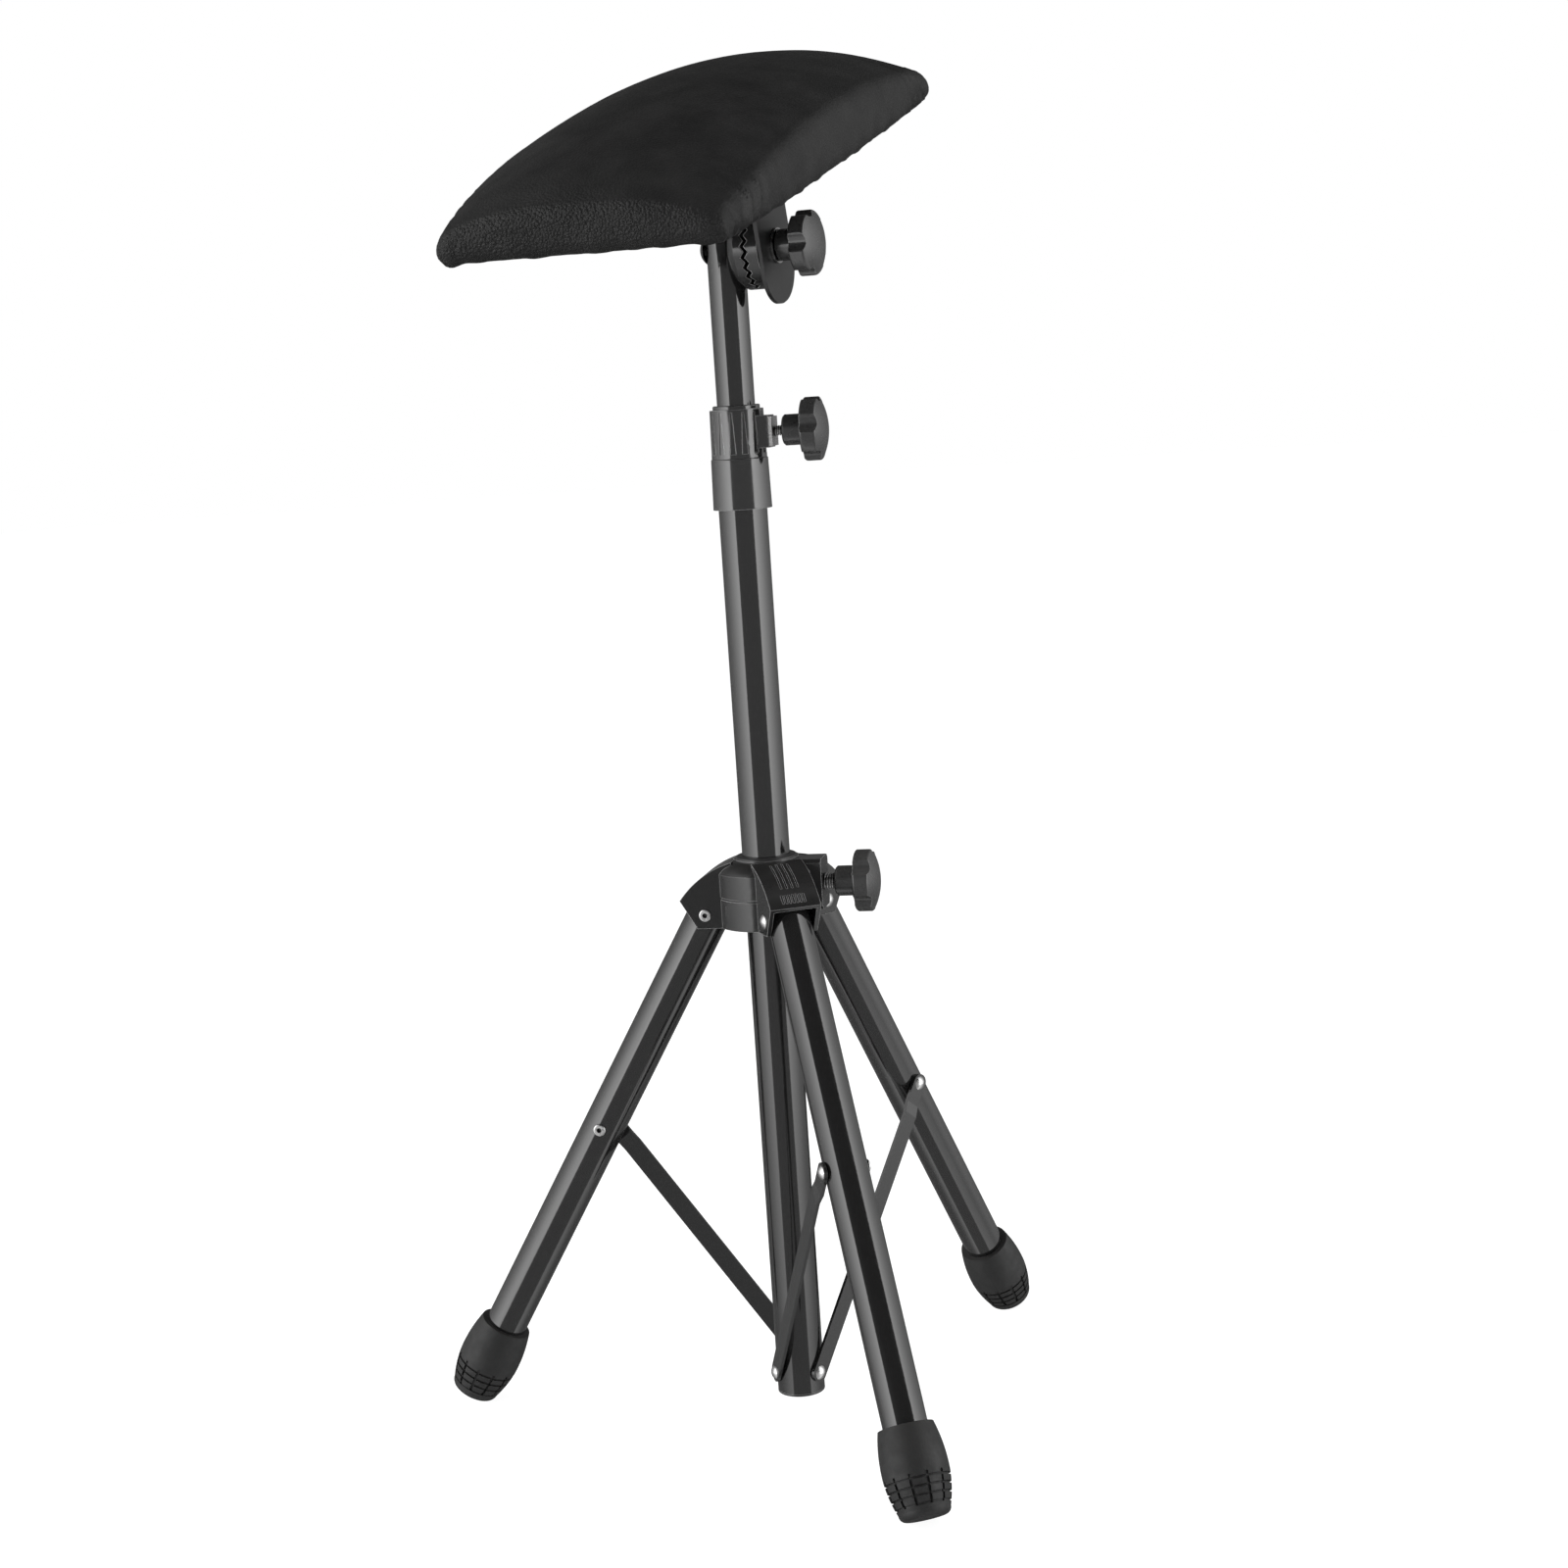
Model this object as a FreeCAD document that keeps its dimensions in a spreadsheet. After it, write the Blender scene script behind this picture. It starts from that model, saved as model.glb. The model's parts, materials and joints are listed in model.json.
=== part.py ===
import FreeCAD, Part
import math
import os
import re
import Sketcher

# Tripod arm rest stand: a folding tripod carries a centre column, a sliding and
# swivelling upper tube is clamped in the column's collar, and a cushion tilts on a
# serrated joint at the top.  Millimetres, Z up.  The X axis points along the clamp
# screws, and the origin is the middle of the stand's footprint at floor level.

SIZES = [
    # Fits and clearances
    ("running_gap", 0.05),
    ("seat_gap", 0.02),
    ("side_gap", 0.3),
    ("overrun", 2.0),

    # Centre column
    ("column_diameter", 28.6),
    ("column_wall", 1.2),
    ("column_floor_gap", 8.5),
    ("column_length", 573.0),
    ("plug_lip", 1.5),
    ("plug_depth", 8.0),
    ("plug_wall", 2.0),

    # Collar at the top of the column
    ("collar_grip", 37.0),
    ("collar_height", 60.0),
    ("collar_base_diameter", 34.5),
    ("collar_waist_diameter", 33.4),
    ("collar_top_diameter", 31.4),
    ("collar_waist_height", 29.0),
    ("collar_step", 0.5),
    ("collar_lip_diameter", 27.6),
    ("collar_lip_height", 2.4),
    ("collar_boss_width", 17.6),
    ("collar_boss_height", 18.6),
    ("collar_boss_reach", 20.0),
    ("collar_screw_drop", 16.0),
    ("collar_screw_diameter", 6.0),
    ("collar_nut_side", 17.0),
    ("collar_nut_thick", 2.8),
    ("collar_nut_inset", 0.8),
    ("collar_knob_station", 27.4),
    ("flute_count", 14),
    ("flute_width", 3.4),
    ("flute_depth", 0.7),
    ("flute_margin", 3.0),

    # Star knobs
    ("knob_lobes", 5),
    ("knob_diameter", 37.0),
    ("knob_scallop_diameter", 11.0),
    ("knob_scallop_depth", 3.2),
    ("knob_lobe_round", 1.8),
    ("knob_rim_thick", 10.0),
    ("knob_dome_height", 4.0),
    ("knob_edge", 1.6),
    ("knob_sleeve_diameter", 18.0),
    ("knob_sleeve_length", 12.0),
    ("knob_sleeve_chamfer", 1.0),
    ("knob_screw_depth", 10.0),
    ("collar_knob_turn", 42.0),
    ("hub_knob_turn", 18.0),
    ("tilt_knob_turn", 54.0),

    # Hub of the tripod, heights counted from the leg pivots
    ("hub_diameter", 60.0),
    ("hub_rise", 32.0),
    ("hub_shoulder_rise", 24.5),
    ("hub_drop", 8.0),
    ("hub_crown_diameter", 39.0),
    ("hub_crown_curve", 15.0),
    ("hub_lip_step", 0.9),
    ("hub_bush_wall", 2.6),
    ("hub_bush_lip", 1.4),
    ("hub_groove_rise", 10.0),
    ("hub_groove_width", 1.2),
    ("hub_groove_depth", 0.6),
    ("hub_wall", 2.6),
    ("arm_root_radius", 18.2),
    ("arm_root_drop", 0.6),
    ("arm_reach", 51.0),
    ("arm_tip_rise", 9.0),
    ("arm_heel_radius", 41.0),
    ("arm_roof_sag", 3.4),
    ("arm_ceiling_rise", 18.0),
    ("arm_ceiling_break", 38.0),
    ("arm_tip_wall", 2.7),
    ("arm_slot_radius", 21.8),
    ("grip_groove_count", 4),
    ("grip_groove_width", 0.9),
    ("grip_groove_pitch", 3.4),
    ("grip_groove_depth", 0.6),
    ("grip_start_share", 0.12),
    ("grip_end_share", 0.66),
    ("tip_notch_count", 7),
    ("tip_notch_width", 1.0),
    ("tip_notch_pitch", 2.2),
    ("tip_notch_start_share", 0.78),
    ("tip_notch_end_share", 0.92),
    ("hub_boss_reach", 34.8),
    ("hub_boss_width", 22.0),
    ("hub_boss_height", 30.0),
    ("hub_boss_chamfer", 2.2),
    ("hub_screw_rise", 16.0),
    ("hub_screw_diameter", 10.0),
    ("hub_nut_side", 17.0),
    ("hub_nut_thick", 6.0),
    ("hub_knob_station", 41.8),

    # Legs
    ("leg_count", 3),
    ("leg_diameter", 25.4),
    ("leg_wall", 1.2),
    ("leg_length", 349.0),
    ("leg_over_pivot", 5.0),
    ("leg_angle", 30.0),
    ("leg_pivot_radius", 36.0),
    ("foot_length", 50.0),
    ("foot_sole", 9.0),
    ("foot_rim_diameter", 31.5),
    ("foot_belly_diameter", 37.5),
    ("foot_belly_height", 23.0),
    ("foot_base_diameter", 29.4),
    ("foot_corner", 4.0),
    ("foot_lower_curve", 70.0),
    ("foot_upper_curve", 90.0),
    ("foot_flat", 0.4),
    ("foot_ring_count", 4),
    ("foot_ring_width", 1.3),
    ("foot_ring_depth", 0.9),
    ("foot_ring_pitch", 4.6),
    ("foot_ring_start", 6.0),
    ("foot_notch_count", 12),
    ("foot_notch_width", 1.6),

    # Braces between the legs and the foot of the column
    ("brace_station", 152.0),
    ("brace_foot_height", 22.0),
    ("brace_width", 11.5),
    ("brace_thick", 2.0),
    ("brace_end_flat", 14.0),
    ("brace_joggle_run", 7.0),
    ("brace_corner", 5.6),
    ("brace_end_gap", 0.3),

    # Rivets
    ("rivet_diameter", 5.0),
    ("rivet_head_diameter", 8.6),
    ("rivet_head_height", 2.0),
    ("rivet_eye_diameter", 3.0),
    ("rivet_eye_depth", 2.0),
    ("rivet_tail_diameter", 7.6),
    ("rivet_tail_height", 1.0),
    ("rivet_bulb_length", 4.0),
    ("rivet_bulb_relief", 0.6),

    # Upper tube
    ("upper_diameter", 22.2),
    ("upper_wall", 1.2),
    ("upper_length", 430.0),
    ("upper_top_rise", 24.0),
    ("upper_swivel", -10.6),
    ("upper_reach", 89.0),
    ("glide_length", 25.0),
    ("glide_lip", 2.0),
    ("glide_lip_overlap", 2.0),
    ("cap_lip", 1.5),
    ("cap_depth", 7.0),
    ("cap_wall", 1.6),

    # Serrated tilt joint, stations counted from the column's axis
    ("joint_diameter", 48.0),
    ("joint_station", 21.0),
    ("joint_teeth", 24),
    ("half_turn", 180.0),
    ("joint_tooth_depth", 2.4),
    ("joint_tooth_inner_diameter", 20.0),
    ("joint_ridge", 0.3),
    ("joint_rim_thick", 6.5),
    ("joint_back_diameter", 26.0),
    ("joint_back_depth", 14.0),
    ("joint_back_curve", 15.0),
    ("joint_plate_thick", 8.0),
    ("tilt_bolt_diameter", 8.0),
    ("tilt_bolt_head_diameter", 16.0),
    ("tilt_bolt_head_height", 4.0),
    ("tilt_bolt_in_knob", 14.0),
    ("tilt_washer_diameter", 20.0),
    ("tilt_washer_thick", 1.6),
    ("tilt_insert_wall", 2.0),
    ("tilt_angle", 15.6),

    # Bracket below the cushion
    ("bracket_thick", 2.5),
    ("bracket_width", 46.0),
    ("bracket_height", 43.5),
    ("bracket_toe", 33.0),
    ("bracket_toe_curve", 22.0),
    ("bracket_bend", 3.0),
    ("bracket_flange", 92.0),
    ("bracket_corner", 6.0),
    ("screw_diameter", 4.0),
    ("screw_head_diameter", 8.0),
    ("screw_head_height", 2.2),
    ("screw_bite", 6.0),
    ("screw_margin", 9.0),

    # Cushion
    ("pad_width", 181.0),
    ("pad_length", 348.0),
    ("pad_shift", -7.0),
    ("pad_corner_height", 16.0),
    ("pad_side_height", 35.5),
    ("pad_end_height", 34.5),
    ("pad_crown_height", 57.0),
    ("pad_side_bulge", 1.6),
    ("pad_draw_in", 2.4),
    ("pad_shoulder", 5.0),
    ("pad_end_round", 7.0),
    ("cover_thick", 1.2),
    ("cover_hem", 20.0),
    ("board_thick", 7.0),
    ("board_corner", 8.0),
    ("board_edge_gap", 2.6),
    ("staple_length", 10.0),
    ("staple_thick", 0.6),
    ("staple_pitch", 26.0),
    ("staple_margin", 12.0),
]

SECTION_SHARES = [-1.0, -0.72, -0.38, 0.0, 0.38, 0.72, 1.0]

doc = FreeCAD.newDocument("ArmRestStand")
sheet = doc.addObject("Spreadsheet::Sheet", "Sizes")
for row, (alias, value) in enumerate(SIZES, start=1):
    sheet.set("A%d" % row, alias)
    sheet.set("B%d" % row, str(value))
    sheet.setAlias("B%d" % row, alias)
doc.recompute()

NAMES = {alias for alias, value in SIZES}
X = FreeCAD.Vector(1, 0, 0)
Y = FreeCAD.Vector(0, 1, 0)
Z = FreeCAD.Vector(0, 0, 1)
FULL_TURN = 360.0
RIGHT_ANGLE = 90.0


def linked(formula):
    """The formula with every size name pointed at the sheet."""
    def point(match):
        word = match.group()
        return "Sizes." + word if word in NAMES else word
    return re.sub(r"[a-z_]+", point, str(formula))


def size(formula):
    """The present value of a formula in size names."""
    return float(sheet.evalExpression(linked(formula)))


# Sketching and feature helpers

def new_body(label):
    body = doc.addObject("PartDesign::Body", label)
    body.Label = label
    return body


def origin_item(body, role):
    for item in body.Origin.OriginFeatures:
        if item.Role == role:
            return item


def new_sketch(body, name, plane, offset=None):
    """A sketch on one of the body's own planes, lifted along its normal by a formula."""
    sketch = body.newObject("Sketcher::SketchObject", name)
    sketch.AttachmentSupport = [(origin_item(body, plane), "")]
    sketch.MapMode = "FlatFace"
    if offset is not None:
        sketch.setExpression("AttachmentOffset.Base.z", linked(offset))
    doc.recompute()
    return sketch


def bind(sketch, kind, geometry, point, formula):
    """Dimension a point from the sketch's origin and tie it to the sheet."""
    value = size(formula)
    index = sketch.addConstraint(Sketcher.Constraint(kind, -1, 1, geometry, point, value))
    if any(word in NAMES for word in re.findall(r"[a-z_]+", str(formula))):
        sketch.setExpression("Constraints[%d]" % index, linked(formula))


def arc_between(start, end, radius, left):
    """The shorter arc from start to end, turning left or right, and its end points' order."""
    chord = end - start
    middle = (start + end) * 0.5
    rise = math.sqrt(max(radius ** 2 - (chord.Length / 2) ** 2, 0))
    normal = FreeCAD.Vector(-chord.y, chord.x, 0).normalize()
    centre = middle + normal * (rise if left else -rise)
    first, last = (start, end) if left else (end, start)
    angle_first = math.atan2(first.y - centre.y, first.x - centre.x)
    angle_last = math.atan2(last.y - centre.y, last.x - centre.x)
    arc = Part.ArcOfCircle(Part.Circle(centre, Z, radius), angle_first, angle_last)
    return arc, (1, 2) if left else (2, 1)


def draw_outline(sketch, corners):
    """A closed outline.  A corner is (x, y), reached by a line, or (x, y, turn, radius),
    reached by an arc that turns left or right; each number is a formula in size names."""
    points = [FreeCAD.Vector(size(corner[0]), size(corner[1]), 0) for corner in corners]
    ends = []
    for index, corner in enumerate(corners):
        start = points[index - 1]
        end = points[index]
        if len(corner) == 2:
            geometry = sketch.addGeometry(Part.LineSegment(start, end), False)
            ends.append((geometry, 1, 2))
        else:
            arc, order = arc_between(start, end, size(corner[3]), corner[2] == "left")
            geometry = sketch.addGeometry(arc, False)
            ends.append((geometry, order[0], order[1]))
    for index, corner in enumerate(corners):
        geometry, first, last = ends[index]
        before = ends[index - 1]
        sketch.addConstraint(Sketcher.Constraint("Coincident", before[0], before[2], geometry, first))
        bind(sketch, "DistanceX", geometry, last, corner[0])
        bind(sketch, "DistanceY", geometry, last, corner[1])
        if len(corner) == 4:
            radius = Sketcher.Constraint("Radius", geometry, size(corner[3]))
            place = sketch.addConstraint(radius)
            sketch.setExpression("Constraints[%d]" % place, linked(corner[3]))


def draw_circle(sketch, x, y, diameter):
    centre = FreeCAD.Vector(size(x), size(y), 0)
    circle = Part.Circle(centre, Z, size(diameter) / 2)
    geometry = sketch.addGeometry(circle, False)
    bind(sketch, "DistanceX", geometry, 3, x)
    bind(sketch, "DistanceY", geometry, 3, y)
    place = sketch.addConstraint(Sketcher.Constraint("Diameter", geometry, size(diameter)))
    sketch.setExpression("Constraints[%d]" % place, linked(diameter))


def draw_box(sketch, x, y, width, height):
    """A rectangle about a centre."""
    draw_outline(sketch, [
        ("%s - (%s) / 2" % (x, width), "%s - (%s) / 2" % (y, height)),
        ("%s + (%s) / 2" % (x, width), "%s - (%s) / 2" % (y, height)),
        ("%s + (%s) / 2" % (x, width), "%s + (%s) / 2" % (y, height)),
        ("%s - (%s) / 2" % (x, width), "%s + (%s) / 2" % (y, height)),
    ])


def revolve(body, sketch, name, cut=False):
    """Turn the sketch a full circle about its own vertical axis."""
    kind = "PartDesign::Groove" if cut else "PartDesign::Revolution"
    feature = body.newObject(kind, name)
    feature.Profile = sketch
    feature.ReferenceAxis = (sketch, ["V_Axis"])
    feature.Angle = FULL_TURN
    doc.recompute()
    return feature


def pad(body, sketch, name, length, side="One side", reverse=False):
    feature = body.newObject("PartDesign::Pad", name)
    feature.Profile = sketch
    feature.SideType = side
    feature.Reversed = reverse
    feature.setExpression("Length", linked(length))
    doc.recompute()
    return feature


def pocket(body, sketch, name, length=None, side="One side", reverse=False):
    """Cut the sketch through everything, or to a depth."""
    feature = body.newObject("PartDesign::Pocket", name)
    feature.Profile = sketch
    feature.SideType = side
    feature.Reversed = reverse
    if length is None:
        feature.Type = "ThroughAll"
    else:
        feature.setExpression("Length", linked(length))
    doc.recompute()
    return feature


def around(body, features, name, count, role="Z_Axis"):
    """Repeat features evenly round one of the body's axes."""
    pattern = body.newObject("PartDesign::PolarPattern", name)
    pattern.Originals = features
    pattern.Axis = (origin_item(body, role), [""])
    pattern.Angle = FULL_TURN
    pattern.setExpression("Occurrences", linked(count))
    body.Tip = pattern
    doc.recompute()
    return pattern


def fillet(body, base, name, radius, wanted):
    """Round the edges of the last feature that the test picks."""
    picked = ["Edge%d" % (index + 1) for index, edge in enumerate(base.Shape.Edges) if wanted(edge)]
    feature = body.newObject("PartDesign::Fillet", name)
    feature.Base = (base, picked)
    feature.setExpression("Radius", linked(radius))
    doc.recompute()
    return feature


def straight_along(edge, direction):
    """Whether an edge is a straight line along a direction."""
    if edge.Degenerated or edge.Curve.TypeId != "Part::GeomLine":
        return False
    return abs(abs(edge.tangentAt(edge.FirstParameter).dot(direction)) - 1) < 1e-6


# Frames of the assemblies

PIVOT_HEIGHT = (
    "((leg_length - foot_corner) * cos(leg_angle)"
    " + (foot_base_diameter / 2 - foot_corner) * sin(leg_angle) + foot_corner - foot_flat)"
)
BRACE_REACH = "(leg_pivot_radius + brace_station * sin(leg_angle))"
BRACE_RISE = "(%s - brace_station * cos(leg_angle) - brace_foot_height)" % PIVOT_HEIGHT
BRACE_LENGTH = "sqrt(%s^2 + %s^2)" % (BRACE_REACH, BRACE_RISE)
BRACE_JOGGLE = "((column_diameter - leg_diameter) / 2 + 2 * running_gap - brace_end_gap)"
ARM_WIDTH = "(leg_diameter + 2 * side_gap + 2 * hub_wall)"
ROOF_RUN = "(arm_reach - arm_root_radius)"
ROOF_FALL = "(hub_rise - arm_root_drop - arm_tip_rise)"
ROOF_CHORD = "sqrt(%s^2 + %s^2)" % (ROOF_RUN, ROOF_FALL)
ROOF_CURVE = "(((%s^2 + %s^2) / 4 + arm_roof_sag^2) / (2 * arm_roof_sag))" % (ROOF_RUN, ROOF_FALL)
TONGUE_STATION = "(joint_station + side_gap / 2 + joint_plate_thick)"
TILT_AXIS_HEIGHT = (
    "(column_floor_gap + plug_lip + column_length - collar_grip + collar_height + upper_reach)"
)
KNOB_STATION = "(%s + bracket_thick + tilt_washer_thick + 2 * running_gap)" % TONGUE_STATION

pivot_height = size(PIVOT_HEIGHT)
collar_bottom = size("column_floor_gap + plug_lip + column_length - collar_grip")


def footprint_offset():
    """How far the column stands in front of the middle of the footprint."""
    turn = math.pi / size("leg_count")
    centre = size("leg_pivot_radius + (leg_length - foot_corner) * sin(leg_angle)")
    ring = size("foot_base_diameter / 2 - foot_corner")
    back = ring * size("cos(leg_angle)")
    front = centre * math.cos(turn) + math.hypot(back * math.cos(turn), ring * math.sin(turn))
    return (centre + back - front) / 2


column_offset = footprint_offset()

STAND = FreeCAD.Placement(X * column_offset, FreeCAD.Rotation())
HUB = STAND * FreeCAD.Placement(Z * pivot_height, FreeCAD.Rotation())
UPPER = STAND * FreeCAD.Placement(
    Z * size(TILT_AXIS_HEIGHT), FreeCAD.Rotation(Z, size("upper_swivel")))
TILTED = UPPER * FreeCAD.Placement(FreeCAD.Vector(), FreeCAD.Rotation(X, size("tilt_angle")))
ALONG_X = FreeCAD.Placement(FreeCAD.Vector(), FreeCAD.Rotation(Y, RIGHT_ANGLE))
FACING_BACK = FreeCAD.Placement(FreeCAD.Vector(), FreeCAD.Rotation(Y, -RIGHT_ANGLE))


def shifted(x=0, y=0, z=0):
    return FreeCAD.Placement(FreeCAD.Vector(x, y, z), FreeCAD.Rotation())


def leg_frame(index):
    """Frame at the hub with X pointing out along a leg; the first leg points to -X."""
    azimuth = 2 * RIGHT_ANGLE + index * FULL_TURN / size("leg_count")
    return HUB * FreeCAD.Placement(FreeCAD.Vector(), FreeCAD.Rotation(Z, azimuth))


def leg_placement(index):
    """Frame at a leg's pivot with Z pointing up along the leg."""
    lean = FreeCAD.Rotation(Y, -size("leg_angle"))
    return leg_frame(index) * FreeCAD.Placement(X * size("leg_pivot_radius"), lean)


# Centre column

def column_tube():
    body = new_body("column_tube")
    ring = new_sketch(body, "column_ring", "XY_Plane")
    draw_circle(ring, 0, 0, "column_diameter")
    draw_circle(ring, 0, 0, "column_diameter - 2 * column_wall")
    pad(body, ring, "column_wall_pad", "column_length")
    hole = new_sketch(body, "column_rivet_hole", "XZ_Plane")
    draw_circle(hole, 0, "brace_foot_height - column_floor_gap - plug_lip", "rivet_diameter + 2 * seat_gap")
    cut = pocket(body, hole, "column_rivet_cut", "column_diameter")
    around(body, [cut], "column_rivet_cuts", "leg_count")
    body.Placement = STAND * shifted(z=size("column_floor_gap + plug_lip"))
    return body


def column_plug():
    body = new_body("column_plug")
    outline = new_sketch(body, "plug_outline", "XZ_Plane")
    draw_outline(outline, [
        (0, 0),
        ("column_diameter / 2 - plug_lip / 2", 0),
        ("column_diameter / 2", "plug_lip / 2", "left", "plug_lip / 2"),
        ("column_diameter / 2", "plug_lip"),
        ("column_diameter / 2 - column_wall - seat_gap", "plug_lip"),
        ("column_diameter / 2 - column_wall - seat_gap", "plug_lip + plug_depth"),
        ("column_diameter / 2 - column_wall - plug_wall", "plug_lip + plug_depth"),
        ("column_diameter / 2 - column_wall - plug_wall", "plug_lip"),
        (0, "plug_lip"),
    ])
    revolve(body, outline, "plug_turned")
    body.Placement = STAND * shifted(z=size("column_floor_gap"))
    return body


# Collar

def collar():
    body = new_body("collar")
    outline = new_sketch(body, "collar_outline", "XZ_Plane")
    draw_outline(outline, [
        ("column_diameter / 2 + seat_gap", 0),
        ("collar_base_diameter / 2", 0),
        ("collar_waist_diameter / 2", "collar_waist_height"),
        ("collar_waist_diameter / 2 - collar_step", "collar_waist_height + collar_step"),
        ("collar_top_diameter / 2", "collar_height - collar_lip_height"),
        ("collar_lip_diameter / 2", "collar_height - collar_lip_height"),
        ("collar_lip_diameter / 2", "collar_height - collar_step"),
        ("collar_lip_diameter / 2 - collar_step", "collar_height"),
        ("upper_diameter / 2 + running_gap", "collar_height"),
        ("upper_diameter / 2 + running_gap", "collar_grip"),
        ("column_diameter / 2 + seat_gap", "collar_grip"),
    ])
    revolve(body, outline, "collar_turned")
    flute = new_sketch(body, "flute_outline", "XZ_Plane", "collar_waist_diameter / 2 - flute_depth - collar_step")
    draw_outline(flute, [
        ("0 - flute_width / 2", "collar_waist_height + flute_margin"),
        ("flute_width / 2", "collar_waist_height + flute_margin"),
        ("flute_width / 6", "collar_height - collar_lip_height - flute_margin / 2"),
        ("0 - flute_width / 6", "collar_height - collar_lip_height - flute_margin / 2"),
    ])
    groove = pocket(body, flute, "collar_flute", reverse=True)
    around(body, [groove], "collar_flutes", "flute_count")
    centre = "(collar_height - collar_screw_drop)"
    boss = new_sketch(body, "collar_boss_outline", "YZ_Plane")
    draw_box(boss, 0, centre, "collar_boss_width", "collar_boss_height")
    pad(body, boss, "collar_boss", "collar_boss_reach")
    inner = new_sketch(body, "collar_bore_outline", "XY_Plane")
    draw_circle(inner, 0, 0, "upper_diameter + 2 * running_gap")
    pocket(body, inner, "collar_upper_bore", side="Symmetric")
    outer = new_sketch(body, "collar_socket_outline", "XY_Plane")
    draw_circle(outer, 0, 0, "column_diameter + 2 * seat_gap")
    pocket(body, outer, "collar_socket", "collar_grip", reverse=True)
    screw = new_sketch(body, "collar_screw_outline", "YZ_Plane")
    draw_circle(screw, 0, centre, "collar_screw_diameter + 2 * running_gap")
    pocket(body, screw, "collar_screw_hole", reverse=True)
    seat = new_sketch(body, "collar_nut_outline", "YZ_Plane", "collar_boss_reach - collar_nut_inset")
    draw_box(seat, 0, centre, "collar_nut_side + 2 * seat_gap", "collar_nut_side + 2 * seat_gap")
    pocket(body, seat, "collar_nut_seat", reverse=True)
    body.Placement = STAND * shifted(z=collar_bottom)
    return body


# Clamp parts

def square_nut(label, side, thick, hole, placement):
    """Square nut with its outer face at the origin, its hole along Z."""
    body = new_body(label)
    plate = new_sketch(body, label + "_outline", "XY_Plane")
    draw_box(plate, 0, 0, side, side)
    pad(body, plate, label + "_plate", thick, reverse=True)
    ring = new_sketch(body, label + "_hole_outline", "XY_Plane")
    draw_circle(ring, 0, 0, "%s + 2 * running_gap" % hole)
    pocket(body, ring, label + "_hole", side="Symmetric")
    body.Placement = placement
    return body


def clamp_screw(label, diameter, length, placement):
    """Screw from its tip at the origin, its far end inside the knob along Z."""
    body = new_body(label)
    outline = new_sketch(body, label + "_outline", "XZ_Plane")
    draw_outline(outline, [
        (0, 0),
        ("%s / 2 - knob_sleeve_chamfer" % diameter, 0),
        ("%s / 2" % diameter, "knob_sleeve_chamfer"),
        ("%s / 2" % diameter, length),
        (0, length),
    ])
    revolve(body, outline, label + "_turned")
    body.Placement = placement
    return body


def star_knob(label, bore, bore_depth, placement):
    """Lobed knob, the end of its sleeve at the origin and its dome pointing along Z.
    It stands where its last turn left it."""
    body = new_body(label)
    rim = "knob_diameter / 2"
    face = "knob_sleeve_length + knob_rim_thick"
    outline = new_sketch(body, label + "_outline", "XZ_Plane")
    draw_outline(outline, [
        ("%s / 2" % bore, 0),
        ("knob_sleeve_diameter / 2 - knob_sleeve_chamfer", 0),
        ("knob_sleeve_diameter / 2", "knob_sleeve_chamfer"),
        ("knob_sleeve_diameter / 2", "knob_sleeve_length"),
        (rim + " - knob_edge", "knob_sleeve_length"),
        (rim, "knob_sleeve_length + knob_edge", "left", "knob_edge"),
        (rim, face + " - knob_edge"),
        (rim + " - knob_edge", face, "left", "knob_edge"),
        (0, face + " + knob_dome_height", "left",
         "((%s - knob_edge)^2 + knob_dome_height^2) / (2 * knob_dome_height)" % rim),
        (0, bore_depth),
        ("%s / 2" % bore, bore_depth),
    ])
    revolve(body, outline, label + "_turned")
    far = "(%s + knob_scallop_diameter / 2 - knob_scallop_depth)" % rim
    reach = "(knob_scallop_diameter / 2 + knob_lobe_round)"
    round_x = "(((%s - knob_lobe_round)^2 + %s^2 - %s^2) / (2 * %s))" % (rim, far, reach, far)
    round_y = "sqrt((%s - knob_lobe_round)^2 - %s^2)" % (rim, round_x)
    outward = "((%s + running_gap) / (%s - knob_lobe_round))" % (rim, rim)
    inward = "(knob_lobe_round / %s)" % reach
    top = "%s * %s" % (round_y, outward)
    turn_x = "%s + (%s - %s) * %s" % (round_x, far, round_x, inward)
    turn_y = "%s * (1 - %s)" % (round_y, inward)
    notch = new_sketch(body, label + "_notch_outline", "XY_Plane")
    draw_outline(notch, [
        (rim + " + overrun", top),
        ("%s * %s" % (round_x, outward), top),
        (turn_x, turn_y, "right", "knob_lobe_round"),
        (turn_x, "0 - " + turn_y, "left", "knob_scallop_diameter / 2"),
        ("%s * %s" % (round_x, outward), "0 - " + top, "right", "knob_lobe_round"),
        (rim + " + overrun", "0 - " + top),
    ])
    scallop = pocket(body, notch, label + "_notch", reverse=True)
    around(body, [scallop], label + "_notches", "knob_lobes")
    turn = FreeCAD.Rotation(Z, size(label + "_turn"))
    body.Placement = placement * FreeCAD.Placement(FreeCAD.Vector(), turn)
    return body


# Hub of the tripod

def roof_point(share, lift):
    """A point at a share of the way down an arm's roof, lifted off it along the chord's normal."""
    along = "((%s) - 1 / 2)" % share
    bow = "(sqrt(%s^2 - (%s * %s)^2) - %s + arm_roof_sag + %s)" % (ROOF_CURVE, along, ROOF_CHORD, ROOF_CURVE, lift)
    x = "(arm_reach + arm_root_radius) / 2 + %s * %s + %s * %s / %s" % (along, ROOF_RUN, bow, ROOF_FALL, ROOF_CHORD)
    z = "(arm_tip_rise + %s / 2) - %s * %s + %s * %s / %s" % (ROOF_FALL, along, ROOF_FALL, bow, ROOF_RUN, ROOF_CHORD)
    return x, z


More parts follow.
